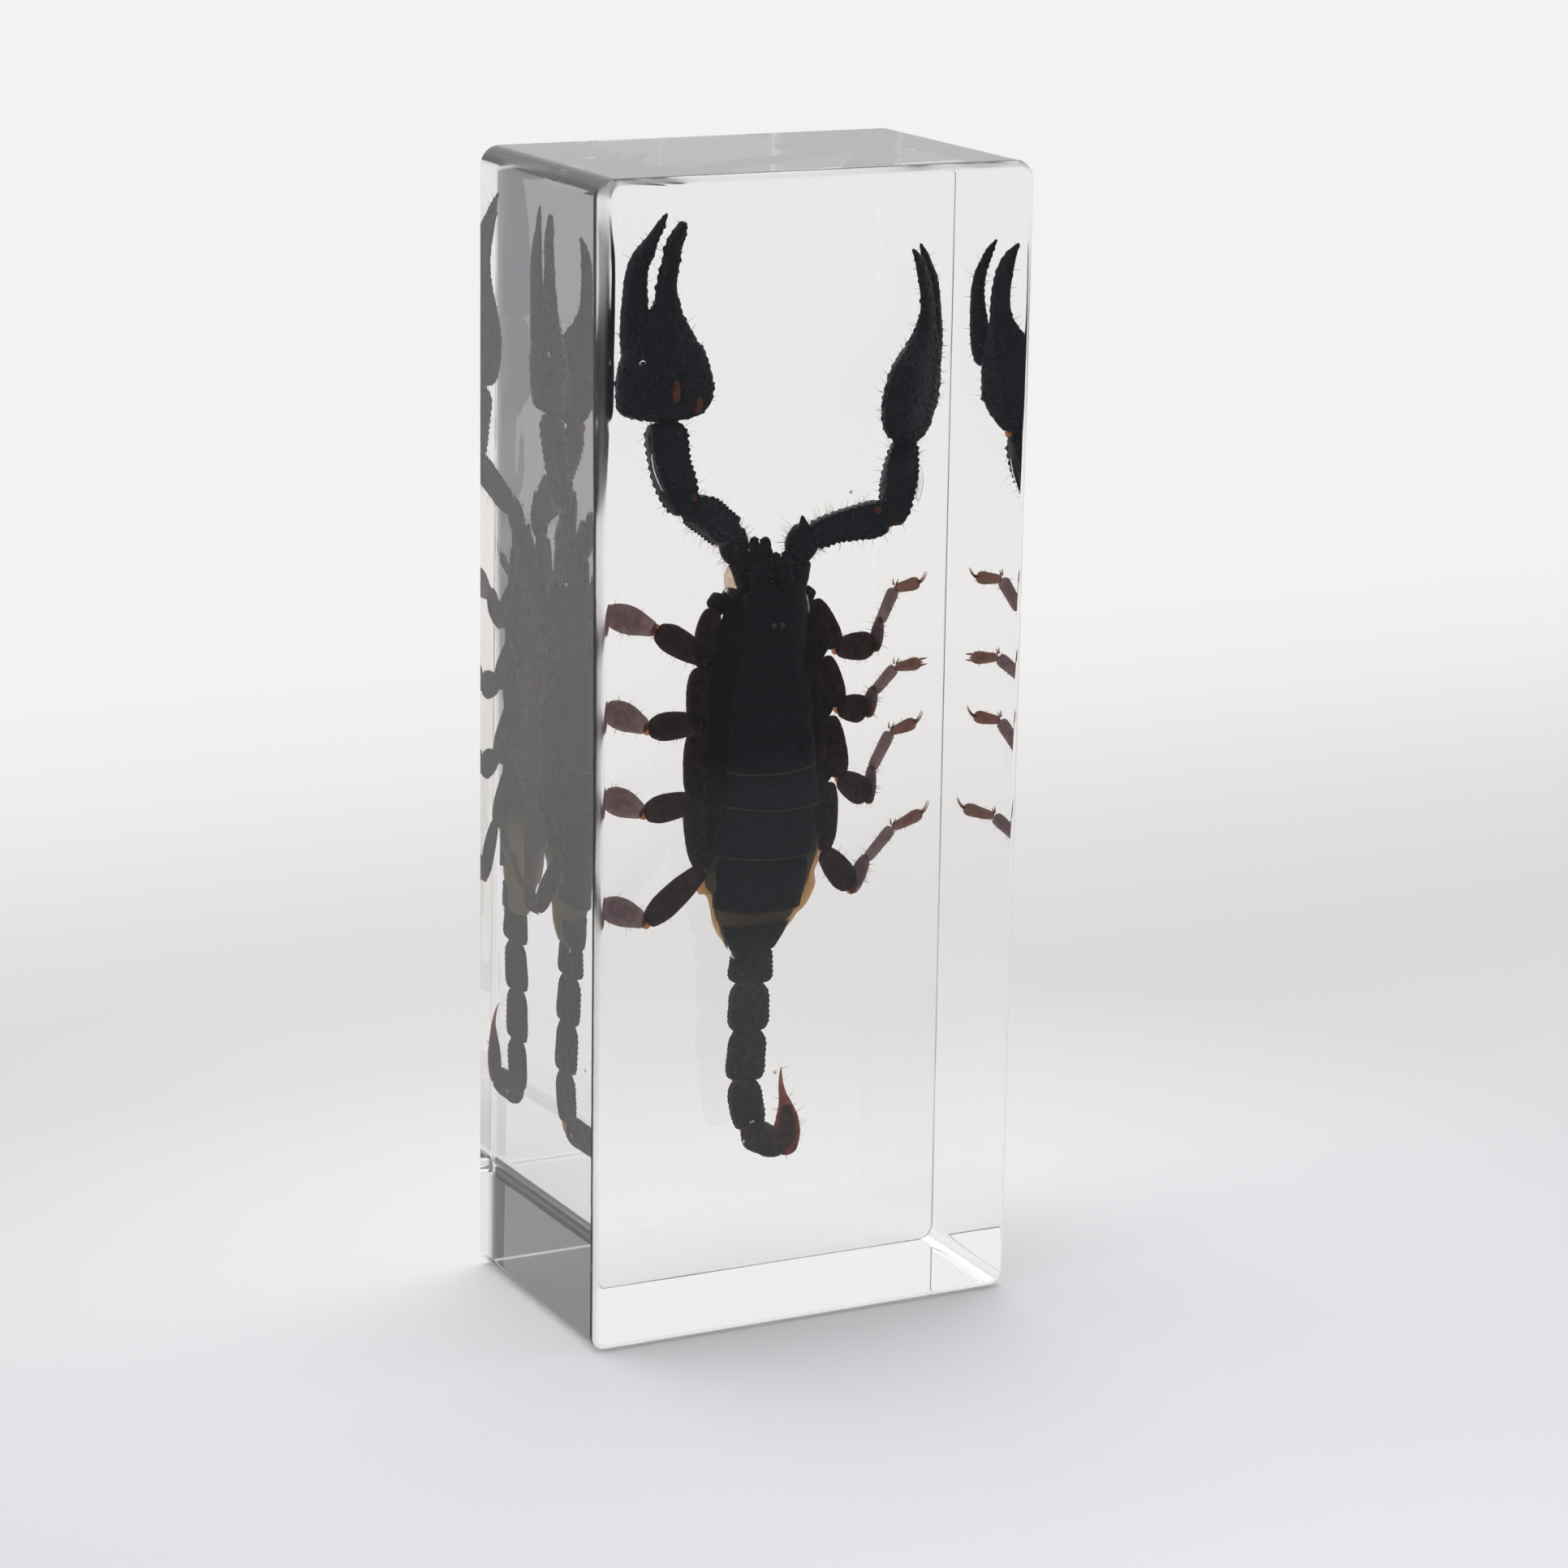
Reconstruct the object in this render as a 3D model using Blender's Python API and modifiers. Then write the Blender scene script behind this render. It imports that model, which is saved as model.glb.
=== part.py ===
"""A paperweight: one clear block of cast resin that stands on its small end.

Metres, +Z up. The origin is at the middle of the block's underside, and the
broad face that shows the specimen looks towards -Y.

The block is a single casting, so it is one object. The specimen inside it is
wholly sealed in: it touches nothing outside and leaves no hollow in the resin.
"""

import bmesh
import bpy

MM = 0.001

# Outer size of the block.
BLOCK_WIDTH = 44.2 * MM    # along X
BLOCK_DEPTH = 27.0 * MM    # along Y, front to back
BLOCK_HEIGHT = 110.0 * MM  # along Z

# The outline, seen from the front, has four corners rounded by polishing. The
# two at the top are worn rounder than the two that the block stands on.
TOP_CORNER_RADIUS = 1.9 * MM
FOOT_CORNER_RADIUS = 1.5 * MM
CORNER_SEGMENTS = 8

# The rims of the front and back faces are only broken, not rounded off.
RIM_RADIUS = 0.85 * MM
RIM_SEGMENTS = 5
RIM_ANGLE = 1.0  # radians: a rim is a right angle, a step of a rounded corner is far less

RESIN_COLOUR = (0.93, 0.94, 0.93, 1.0)
RESIN_IOR = 1.57
RESIN_ROUGHNESS = 0.02


def clear_scene():
    for obj in list(bpy.data.objects):
        bpy.data.objects.remove(obj)


def new_collection(name):
    collection = bpy.data.collections.new(name)
    bpy.context.scene.collection.children.link(collection)
    return collection


def resin_material():
    material = bpy.data.materials.new("clear_resin")
    material.use_nodes = True
    shader = material.node_tree.nodes["Principled BSDF"]
    shader.inputs["Base Color"].default_value = RESIN_COLOUR
    shader.inputs["Roughness"].default_value = RESIN_ROUGHNESS
    shader.inputs["Metallic"].default_value = 0.0
    shader.inputs["IOR"].default_value = RESIN_IOR
    shader.inputs["Transmission Weight"].default_value = 1.0
    return material


def runs_front_to_back(edge):
    """True for the four edges of the cuboid that lie along Y."""
    start, end = (vert.co for vert in edge.verts)
    return abs(start.y - end.y) > BLOCK_DEPTH / 2


def cuboid_mesh():
    """A cuboid standing on Z = 0, with a bevel weight on each edge along Y.

    The weight is the share of the top corners' radius that the edge gets."""
    work = bmesh.new()
    bmesh.ops.create_cube(work, size=1.0)
    bmesh.ops.scale(work, vec=(BLOCK_WIDTH, BLOCK_DEPTH, BLOCK_HEIGHT), verts=work.verts)
    bmesh.ops.translate(work, vec=(0.0, 0.0, BLOCK_HEIGHT / 2), verts=work.verts)
    weight = work.edges.layers.float.new("bevel_weight_edge")
    for edge in work.edges:
        if runs_front_to_back(edge):
            at_top = edge.verts[0].co.z > BLOCK_HEIGHT / 2
            edge[weight] = 1.0 if at_top else FOOT_CORNER_RADIUS / TOP_CORNER_RADIUS
    mesh = bpy.data.meshes.new("resin_block")
    work.to_mesh(mesh)
    work.free()
    return mesh


def add_bevel(obj, name, width, segments):
    bevel = obj.modifiers.new(name, "BEVEL")
    bevel.offset_type = "OFFSET"
    bevel.width = width
    bevel.segments = segments
    bevel.use_clamp_overlap = False
    return bevel


def build_resin_block(collection):
    block = bpy.data.objects.new("resin_block", cuboid_mesh())
    collection.objects.link(block)
    block.data.materials.append(resin_material())

    corners = add_bevel(block, "outline_corners", TOP_CORNER_RADIUS, CORNER_SEGMENTS)
    corners.limit_method = "WEIGHT"

    rims = add_bevel(block, "face_rims", RIM_RADIUS, RIM_SEGMENTS)
    rims.limit_method = "ANGLE"
    rims.angle_limit = RIM_ANGLE
    return block


clear_scene()
build_resin_block(new_collection("scorpion_in_resin_block"))
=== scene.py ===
# %% [markdown]
# # A scorpion sealed in a block of clear resin
#
# The object is a paperweight: a dried forest scorpion, cast into a polished block
# of clear resin that stands on its small end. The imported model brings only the
# block. Everything else is made here, surface by surface, with numpy.
#
# Lengths are typed in millimetres, because that is how one thinks about a claw or a
# leg, and each mesh is scaled to metres when it is made. +Z runs up the block, the
# scorpion shows its back towards -Y, and its claws are up.

import bpy
import numpy as np
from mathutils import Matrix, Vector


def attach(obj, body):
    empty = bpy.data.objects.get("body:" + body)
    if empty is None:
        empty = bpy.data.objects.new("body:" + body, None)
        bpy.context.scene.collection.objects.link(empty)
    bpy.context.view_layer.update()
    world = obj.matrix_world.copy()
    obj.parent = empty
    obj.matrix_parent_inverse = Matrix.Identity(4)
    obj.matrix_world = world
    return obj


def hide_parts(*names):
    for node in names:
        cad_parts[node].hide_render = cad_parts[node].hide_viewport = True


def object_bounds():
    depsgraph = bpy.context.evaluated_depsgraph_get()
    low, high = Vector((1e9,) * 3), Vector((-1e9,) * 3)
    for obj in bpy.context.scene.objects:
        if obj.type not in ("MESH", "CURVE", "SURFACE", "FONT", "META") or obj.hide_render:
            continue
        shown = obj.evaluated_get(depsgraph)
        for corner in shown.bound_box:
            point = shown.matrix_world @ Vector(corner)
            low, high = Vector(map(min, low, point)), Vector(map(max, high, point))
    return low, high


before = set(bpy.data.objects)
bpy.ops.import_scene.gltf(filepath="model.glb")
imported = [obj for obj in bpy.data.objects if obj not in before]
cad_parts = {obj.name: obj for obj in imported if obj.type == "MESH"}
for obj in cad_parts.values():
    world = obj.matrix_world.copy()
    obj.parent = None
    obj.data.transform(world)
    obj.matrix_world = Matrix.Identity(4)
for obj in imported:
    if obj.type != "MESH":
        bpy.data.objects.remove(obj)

cad_low, cad_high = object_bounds()
MM = 0.001
BLOCK = np.array(cad_high - cad_low) / MM
print("block, mm:", np.round(BLOCK, 2))

# %% [markdown]
# ## The camera
#
# Straight edges of the block give the camera: the vanishing points of its three
# families of edges fix the direction, and the block's size on the picture fixes the
# distance. The lens is a short telephoto, about half a metre away. A camera in
# Blender looks down its own -Z, so its matrix has the columns right, up and back.

# %% Camera at the photograph's angle
AZIMUTH, ELEVATION, ROLL = np.radians([-26.96, 14.53, 0.95])
DISTANCE = 453.0     # from the aimed point, mm
AIM_RIGHT, AIM_UP = 3.41, -5.06   # where it aims, measured from the block's middle
LENS, SENSOR = 109.1, 36.0   # focal length and width of the film, mm
NEAR_CLIP, FAR_CLIP = 0.01, 50.0   # m


def unit(vectors):
    """Each vector divided by its own length."""
    return vectors / np.linalg.norm(vectors, axis=-1, keepdims=True)


back = np.array([
    np.sin(AZIMUTH) * np.cos(ELEVATION),
    -np.cos(AZIMUTH) * np.cos(ELEVATION),
    np.sin(ELEVATION),
])
right = np.array([np.cos(AZIMUTH), np.sin(AZIMUTH), 0.0])
up = np.cross(back, right)
aim = right * AIM_RIGHT + up * AIM_UP + np.array([0.0, 0.0, BLOCK[2] / 2])
eye = aim + back * DISTANCE
turned_right = right * np.cos(ROLL) + up * np.sin(ROLL)
turned_up = up * np.cos(ROLL) - right * np.sin(ROLL)

pose = np.eye(4)
pose[:3] = np.column_stack([turned_right, turned_up, back, eye * MM])
camera = bpy.data.objects.new("camera", bpy.data.cameras.new("camera"))
camera.data.sensor_width = SENSOR
camera.data.lens = LENS
camera.data.clip_start, camera.data.clip_end = NEAR_CLIP, FAR_CLIP
camera.matrix_world = pose.T.tolist()
bpy.context.scene.collection.objects.link(camera)
bpy.context.scene.camera = camera
print("camera at, mm:", np.round(eye))

# %% [markdown]
# ## A kit for smooth shapes
#
# Nearly every piece of a scorpion is a hard tube: a leg segment, a finger, a ring of
# the tail. One function can make them all, if it carries an oval profile along a
# path. The path is typed as a few rows of numbers, and a cubic curve goes through
# them, so that a row is added only where the shape really changes.

# %% A smooth curve through a few rows
def through(rows, at):
    """A cubic through the rows, read at the shares `at` of its length.

    The knots are spaced by the distance between neighbouring points. Each span is a
    Hermite cubic: its two ends have the slope of the parabola through the
    neighbouring rows, so place and slope both run on without a jump."""
    rows = np.asarray(rows, float)
    gap = np.linalg.norm(np.diff(rows[:, :3], axis=0), axis=1)
    knot = np.concatenate([[0.0], np.cumsum(gap)])
    slope = np.gradient(rows, knot, axis=0)
    where = np.asarray(at, float) * knot[-1]
    i = np.clip(np.searchsorted(knot, where, side="right") - 1, 0, len(knot) - 2)
    span = (knot[i + 1] - knot[i])[:, None]
    t = (where - knot[i])[:, None] / span
    from_start = (2 * t**3 - 3 * t**2 + 1) * rows[i] + (t**3 - 2 * t**2 + t) * span * slope[i]
    from_end = (3 * t**2 - 2 * t**3) * rows[i + 1] + (t**3 - t**2) * span * slope[i + 1]
    return from_start + from_end


print("middle of a test curve:", through([(0, 0, 0), (1, 1, 0), (2, 0, 0)], [0.5])[0])

# %% [markdown]
# ## Relief on a surface
#
# Real armour is never smooth. It has keels, which are lines of teeth that run along a
# segment, and grains, which are scattered bumps. Both are heights along the surface
# normal. A grid of points makes the normal easy: it is the cross product of the two
# directions in which the grid runs.

# %% Normals and bells
def grid_normals(grid):
    """Outward normals of rings of points, shape (rings, around, 3).

    The step round the ring crossed with the step to the next ring."""
    around = np.roll(grid, -1, axis=1) - np.roll(grid, 1, axis=1)
    along = np.gradient(grid, axis=0)
    normal = np.cross(around, along)
    return normal / np.maximum(np.linalg.norm(normal, axis=-1, keepdims=True), 1e-12)


def bell(value, centre, breadth):
    """A bell curve: e to the minus square of the distance from the centre, in breadths."""
    return np.exp(-(((value - centre) / breadth) ** 2))


print("a bell one breadth from its centre:", round(bell(1.0, 0.0, 1.0), 3))

# %% Grains
CELL_MIX = np.array([12.9898, 78.233, 37.719])   # makes one number of a cell's three
SHUFFLE = 43758.5453
SMALL_GRAIN, GRAIN_SPREAD = 0.28, 0.25   # the least radius in cells, and how much may be added


def scatter(cells, seed):
    """Three numbers from 0 to 1 for each whole-number cell, always the same for a cell.

    The fraction left by a large multiple of a sine of the cell's own numbers."""
    mixed = cells @ CELL_MIX + seed
    return np.stack([np.modf(np.abs(np.sin(mixed * k) * SHUFFLE))[0] for k in (1.0, 1.7, 2.3)], -1)


def grains(points, spacing, height, seed=1.0):
    """Height of scattered rounded grains at each point, from 0 to about `height`.

    Space is cut into cubes, each with one grain at a random place. A grain is a dome,
    its radius times 1 minus the square of the distance over the radius, and a point
    rises by the highest of the domes in its own cube and the cubes around it."""
    flat = points.reshape(-1, 3) / spacing
    home = np.floor(flat)
    rise = np.zeros(len(flat))
    steps = np.stack(np.meshgrid(*[[-1, 0, 1]] * 3, indexing="ij"), -1).reshape(-1, 3)
    for step in steps:
        cell = home + step
        random = scatter(cell, seed)
        distance = np.linalg.norm(cell + random - flat, axis=1)
        radius = SMALL_GRAIN + GRAIN_SPREAD * random[:, 0]
        rise = np.maximum(rise, radius * np.clip(1 - (distance / radius) ** 2, 0, 1))
    return (2 * height * rise).reshape(points.shape[:-1])


print("highest on a line over grains:", grains(np.linspace((0, 0, 0), (9, 0, 0), 99), 1.0, 1.0).max())

# %% Keels
KEEL_FADE = 0.06   # the share of a limb over which a keel fades at its ends
SADDLE = 0.3       # height between two teeth, as a share of a tooth


def ridge(angle, height, breadth=0.25, teeth=0, start=0.0, end=1.0):
    """A keel: a raised line at one angle round a limb, cut into teeth if asked.

    Round the limb the height falls off as a bell curve of the angle. Along it the
    teeth are humps, the size of a sine to the power 1.5, and both ends fade."""
    def lift(along, turn):
        """The height at a share along the limb and an angle round it."""
        away = (turn - angle + np.pi) % (2 * np.pi) - np.pi
        fade = np.clip((along - start) / KEEL_FADE, 0, 1) * np.clip((end - along) / KEEL_FADE, 0, 1)
        saw = SADDLE + (1 - SADDLE) * np.abs(np.sin(np.pi * teeth * along)) ** 1.5 if teeth else 1.0
        return height * bell(away, 0, breadth) * fade * saw
    return lift


print("a keel's height on its line:", ridge(0.0, 0.3)(0.5, 0.0))

# %% [markdown]
# ## The limb: an oval carried along a path
#
# The profile is a superellipse, an oval whose exponent makes it rounder or squarer.
# It stands across the path with its broad side turned to a given direction. Towards
# each end it shrinks as a quarter circle, down to one point, so that the ends are
# closed and round. The mesh is quads round the rings and a fan at each pole.

# %% The limb surface
def fan_and_rings(rings, sides):
    """Quads between neighbouring rings and a triangle fan at each pole.

    Point 0 is the first pole, the last point is the other."""
    i, j = np.meshgrid(np.arange(rings - 1), np.arange(sides), indexing="ij")
    k = (j + 1) % sides
    quads = np.stack([i * sides + j, i * sides + k, (i + 1) * sides + k, (i + 1) * sides + j], -1) + 1
    turn = np.arange(sides)
    following = (turn + 1) % sides
    last = (rings - 1) * sides + 1
    first_fan = np.stack([np.zeros(sides, int), following + 1, turn + 1], -1)
    last_fan = np.stack([np.full(sides, rings * sides + 1), turn + last, following + last], -1)
    return quads.reshape(-1, 4), np.concatenate([first_fan, last_fan])


def limb(rows, broad, ends=(0.5, 0.5), square=2.2, around=28, along=36, relief=(), grain=None):
    """One closed hard segment.

    rows: x, y, z, half width, half thickness. The half width lies along `broad`. A
    ring's point is centre + width * cos(turn) * side + thickness * sin(turn) * face,
    with both raised to 2 / square, and all of it shrunk near an end of length `ends`.
    `relief` holds keels, and `grain` the spacing, height and seed of its grains."""
    share = (1 - np.cos(np.pi * np.arange(along + 1) / along)) / 2
    track = through(rows, share)
    centre = track[:, :3]
    heading = unit(np.gradient(centre, axis=0))
    wide = np.broadcast_to(np.asarray(broad, float), centre.shape)
    side = unit(wide - (heading * wide).sum(1, keepdims=True) * heading)
    face = np.cross(heading, side)
    travelled = np.concatenate([[0], np.cumsum(np.linalg.norm(np.diff(centre, axis=0), axis=1))])
    nose = np.clip(travelled / ends[0], 0, 1)
    tail = np.clip((travelled[-1] - travelled) / ends[1], 0, 1)
    shrink = np.sqrt(1 - (1 - nose) ** 2) * np.sqrt(1 - (1 - tail) ** 2)
    turn = 2 * np.pi * np.arange(around) / around
    across = np.sign(np.cos(turn)) * np.abs(np.cos(turn)) ** (2 / square)
    through_thickness = np.sign(np.sin(turn)) * np.abs(np.sin(turn)) ** (2 / square)
    width = (track[:, 3] * shrink)[:, None, None] * across[None, :, None] * side[:, None]
    thick = (track[:, 4] * shrink)[:, None, None] * through_thickness[None, :, None] * face[:, None]
    grid = (centre[:, None] + width + thick)[1:-1]
    lift = sum((line(share[1:-1, None], turn[None]) for line in relief), np.zeros(grid.shape[:2]))
    if grain:
        lift = lift + grains(grid, *grain)
    grid = grid + grid_normals(grid) * (lift * shrink[1:-1, None])[..., None]
    points = np.concatenate([centre[:1], grid.reshape(-1, 3), centre[-1:]])
    return (points, *fan_and_rings(along - 1, around))


ACROSS, INTO_BLOCK, ALONG_BODY = (1, 0, 0), (0, 1, 0), (0, 0, 1)   # ways a broad side may lie

test = limb([(0, 0, 0, 1, 1), (0, 0, 4, 1, 1)], ACROSS)
print("a limb has", len(test[0]), "points and", len(test[1]) + len(test[2]), "faces")

# %% [markdown]
# ## The plate: a thin curved shield
#
# The back and belly are covered by plates that overlap like roof tiles. A plate is an
# arch carried along the body: the outer arc goes from one edge to the other, the
# inner arc comes back just below it, and a strip closes each end. So a plate is one
# closed shell with a real thickness, and light catches its edge.

# %% The plate surface
def plate(front, rear, hump=0.1, thickness=0.22, across=64, along=18, shape=0.75,
          edges=None, grain=None, relief=None):
    """A closed arched shield between two rows (x, edge y, z, half width, height of arch).

    Along an arc the angle goes from 0 to pi. x is the cosine times the half width and
    the rise towards the viewer is the sine to the power `shape`, times the arch.
    `hump` bulges the sides outwards between the two rows. `edges` moves points along
    Z and `relief` raises them, both as functions of x from -1 to 1 and of v from 0
    at the front to 1 at the rear."""
    v = np.linspace(0, 1, along)[:, None]
    half = across // 2
    angle = np.pi * np.arange(half + 1) / half
    loop = np.concatenate([angle, angle[::-1]])
    inner = np.concatenate([np.zeros(half + 1), np.ones(half + 1)])
    front, rear = np.asarray(front, float), np.asarray(rear, float)
    row = front * (1 - v) + rear * v
    width = row[:, 3:4] + hump * np.sin(np.pi * v)
    arch = row[:, 4:5] - inner[None] * thickness
    sine = np.maximum(np.sin(loop), 0)[None] ** shape
    x = row[:, 0:1] - (width - inner[None] * thickness * 0.5) * np.cos(loop)[None]
    y = row[:, 1:2] - arch * sine
    z = row[:, 2:3] + 0 * loop[None]
    if edges:
        z = z + edges(-np.cos(loop)[None], v)
    grid = np.stack([x, y, z], -1)
    lift = np.zeros(grid.shape[:2])
    if grain:
        lift = lift + grains(grid, *grain)
    if relief:
        lift = lift + relief(-np.cos(loop)[None], v)
    grid[..., 1] -= lift * (1 - inner[None]) * np.sin(loop)[None]
    return shell_from(grid)


def shell_from(grid):
    """Points and faces of loops of points whose second half lies under the first.

    Quads go round and along. Each open end is closed by quads that join a point of
    the first half to its partner in the second."""
    rings, sides = grid.shape[:2]
    i, j = np.meshgrid(np.arange(rings - 1), np.arange(sides), indexing="ij")
    k = (j + 1) % sides
    quads = np.stack([i * sides + j, (i + 1) * sides + j, (i + 1) * sides + k, i * sides + k], -1)
    j = np.arange(sides // 2 - 1)
    lid = np.stack([j, j + 1, sides - 2 - j, sides - 1 - j], -1)
    last = (rings - 1) * sides
    quads = np.concatenate([quads.reshape(-1, 4), lid, lid[:, ::-1] + last])
    return grid.reshape(-1, 3), quads, np.zeros((0, 3), int)


test = plate((0, 0, 1, 1, 0.5), (0, 0, 0, 1, 0.5))
print("a plate has", len(test[0]), "points")

# %% [markdown]
# ## From arrays to a Blender mesh
#
# A mesh wants flat lists: where each vertex is, which vertices each face uses and
# where each face starts. foreach_set takes whole arrays, which is far quicker than a
# loop. Several surfaces can be joined into one piece, such as the segments of a leg.

# %% Making a piece
SHARP = np.radians(55.0)   # an edge bent by more than this is drawn sharp


def joined(surfaces):
    """Several (points, quads, triangles) as one, with the face numbers moved along."""
    starts = np.cumsum([0] + [len(s[0]) for s in surfaces[:-1]])
    return (
        np.concatenate([s[0] for s in surfaces]),
        np.concatenate([s[1] + k for s, k in zip(surfaces, starts)]),
        np.concatenate([s[2] + k for s, k in zip(surfaces, starts)]),
    )


def make(name, surfaces, material, normals=None):
    """A smooth-shaded object from surfaces in mm, riding on the block."""
    points, quads, triangles = joined(surfaces)
    mesh = bpy.data.meshes.new(name)
    corners = np.concatenate([quads.ravel(), triangles.ravel()])
    sizes = np.concatenate([np.full(len(quads), 4), np.full(len(triangles), 3)])
    mesh.vertices.add(len(points))
    mesh.vertices.foreach_set("co", (points * MM).ravel())
    mesh.loops.add(len(corners))
    mesh.loops.foreach_set("vertex_index", corners.astype(np.int32))
    mesh.polygons.add(len(sizes))
    mesh.polygons.foreach_set("loop_start", (np.cumsum(sizes) - sizes).astype(np.int32))
    mesh.update(calc_edges=True)
    mesh.polygons.foreach_set("use_smooth", np.ones(len(sizes), bool))
    if normals is None:
        mesh.set_sharp_from_angle(angle=SHARP)
    else:
        mesh.normals_split_custom_set_from_vertices(normals.tolist())
    mesh.materials.append(material)
    piece = bpy.data.objects.new(name, mesh)
    bpy.context.scene.collection.objects.link(piece)
    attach(piece, "root")
    made[name] = len(quads) * 2 + len(triangles)
    return piece


made = {}
print("pieces so far:", len(made))

# %% [markdown]
# ## Finishes
#
# A scorpion's armour is chitin, dark brown to greenish black, and in resin it loses
# its shine, because resin and chitin bend light alike. Thick pieces are opaque. Thin
# ones, such as legs, let light through, and what comes through is red-brown. A thin
# piece is therefore a clear body with an absorbing volume: the light lost depends on
# the thickness it crosses, so edges glow and middles stay dark by themselves.

# %% Building blocks for materials
def new_material(name):
    """A material with one Principled shader: the material, its tree and the shader."""
    material = bpy.data.materials.new(name)
    material.use_nodes = True
    tree = material.node_tree
    return material, tree, tree.nodes["Principled BSDF"]


def set_sockets(node, values):
    """Types a constant into each of the node's own sockets that is named."""
    for socket, value in values.items():
        node.inputs[socket].default_value = value


def noise(tree, scale, detail=3.0, rough=0.55):
    """A noise value in Object coordinates, with `scale` cells per metre."""
    place = tree.nodes.new("ShaderNodeTexCoord")
    node = tree.nodes.new("ShaderNodeTexNoise")
    set_sockets(node, {"Scale": scale, "Detail": detail, "Roughness": rough})
    tree.links.new(place.outputs["Object"], node.inputs["Vector"])
    return node.outputs["Fac"]


def ramp(tree, value, stops):
    """Colours along a value: stops are (position, (r, g, b))."""
    node = tree.nodes.new("ShaderNodeValToRGB")
    for spare in list(node.color_ramp.elements)[1:]:
        node.color_ramp.elements.remove(spare)
    node.color_ramp.elements[0].position = stops[0][0]
    node.color_ramp.elements[0].color = (*stops[0][1], 1.0)
    for position, colour in stops[1:]:
        node.color_ramp.elements.new(position).color = (*colour, 1.0)
    tree.links.new(value, node.inputs["Fac"])
    return node.outputs["Color"]


def ramp_along(tree, axis, low, high, stops, coordinates="Object"):
    """Colours along an axis: a stop at 0 is the colour at `low`, a stop at 1 at `high`."""
    place = tree.nodes.new("ShaderNodeTexCoord")
    split = tree.nodes.new("ShaderNodeSeparateXYZ")
    share = tree.nodes.new("ShaderNodeMapRange")
    set_sockets(share, {"From Min": low, "From Max": high})
    tree.links.new(place.outputs[coordinates], split.inputs[0])
    tree.links.new(split.outputs[axis], share.inputs["Value"])
    return ramp(tree, share.outputs["Result"], stops)


def product(tree, first, second):
    """Two colours, multiplied."""
    node = tree.nodes.new("ShaderNodeVectorMath")
    node.operation = "MULTIPLY"
    tree.links.new(first, node.inputs[0])
    tree.links.new(second, node.inputs[1])
    return node.outputs["Vector"]


def bump(tree, value, distance, strength=1.0):
    """A normal tilted by the slope of a value, as if it were a height in metres."""
    node = tree.nodes.new("ShaderNodeBump")
    set_sockets(node, {"Distance": distance, "Strength": strength})
    tree.links.new(value, node.inputs["Height"])
    return node.outputs["Normal"]


def coat(tree, shader, colour, normal):
    """Gives the shader a colour and a normal, both made by other nodes."""
    tree.links.new(colour, shader.inputs["Base Color"])
    tree.links.new(normal, shader.inputs["Normal"])


def absorb(tree, colour, density):
    """A volume that takes light away: more of the colours that `colour` lacks."""
    node = tree.nodes.new("ShaderNodeVolumeAbsorption")
    set_sockets(node, {"Color": (*colour, 1.0), "Density": density})
    out = tree.nodes["Material Output"]
    tree.links.new(node.outputs["Volume"], out.inputs["Volume"])


print("materials, before the first finish:", len(bpy.data.materials))

# %% [markdown]
# ## Opaque finishes
#
# Carapace and back are nearly black and the hands a little bluer. That blue, stronger on the hands than on
# the back, is a painted bluish sheen of reflected light over the armour's own near-black. The belly and the
# worn spots are brown to amber. The back, the hands, the belly and the worn spots are too thick to see
# through, so they need only a colour. The hems are thin, and the light through them is painted into an
# opaque gold. A noise mixes two close tones, so that no piece is one flat patch, and a finer noise makes the
# pits that break up its shine.

# %% Opaque armour
PITS_PER_CELL, PIT_DEPTH = 6, 0.00006   # pits are finer than the patches of tone; m


def armour(name, dark, light, cells=900.0, roughness=0.42, shine=0.25):
    """Opaque chitin: two close tones mixed by noise, fine pits and a dull shine."""
    material, tree, shader = new_material(name)
    tone = ramp(tree, noise(tree, cells), [(0.3, dark), (0.72, light)])
    coat(tree, shader, tone, bump(tree, noise(tree, cells * PITS_PER_CELL), PIT_DEPTH, 0.6))
    set_sockets(shader, {"Roughness": roughness, "Specular IOR Level": shine})
    return material


# The blue in the back's and the hands' tones is a painted bluish sheen of reflected light, over their own
# near-black.
BACK_AND_BLUE_SHEEN = armour("back_armour_and_blue_sheen", (0.003, 0.005, 0.007), (0.007, 0.010, 0.013), shine=0.05)
BELLY = armour("belly_armour", (0.012, 0.008, 0.007), (0.026, 0.016, 0.012), shine=0.1)
HAND_AND_BLUE_SHEEN = armour("hand_armour_and_blue_sheen", (0.007, 0.011, 0.018), (0.015, 0.017, 0.023), shine=0.10)
# The hems' gold is painted backlight: the glow of light through a thin edge, given as an opaque colour.
HEM_PAINTED_BACKLIGHT = armour("hem_painted_backlight", (0.03, 0.022, 0.010), (0.07, 0.05, 0.024), cells=1500.0, shine=0.1)
AMBER = armour("worn_amber", (0.07, 0.018, 0.008), (0.22, 0.055, 0.02), cells=1500.0)
FLESH = armour("dried_flesh", (0.008, 0.006, 0.006), (0.016, 0.011, 0.009), roughness=0.7, shine=0.1)
EYE = armour("eye_lens", (0.004, 0.004, 0.005), (0.008, 0.008, 0.010), roughness=0.12, shine=0.8)
print("materials, with the opaque ones:", len(bpy.data.materials))

# %% [markdown]
# ## Clear finishes
#
# Thighs let only a dark red through, shins and feet a pale purple-brown. The skin of
# the joints is orange and the sting a deep red. Paint in these colours would make the
# edges of a leg as dark as its middle, so each finish is clear with an absorbing
# body. It is typed as its tint, the colour that its body lets pass, and how much its
# body absorbs per metre.

# %% Armour that lets light through
CHITIN_IOR = 1.04   # against the resin round it, not against air
CLEAR_CELLS, CLEAR_PITS, CLEAR_PIT_DEPTH = 1400.0, 5000.0, 0.00004
DULLED = 0.55   # the darker tone, as a share of the tint


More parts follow.
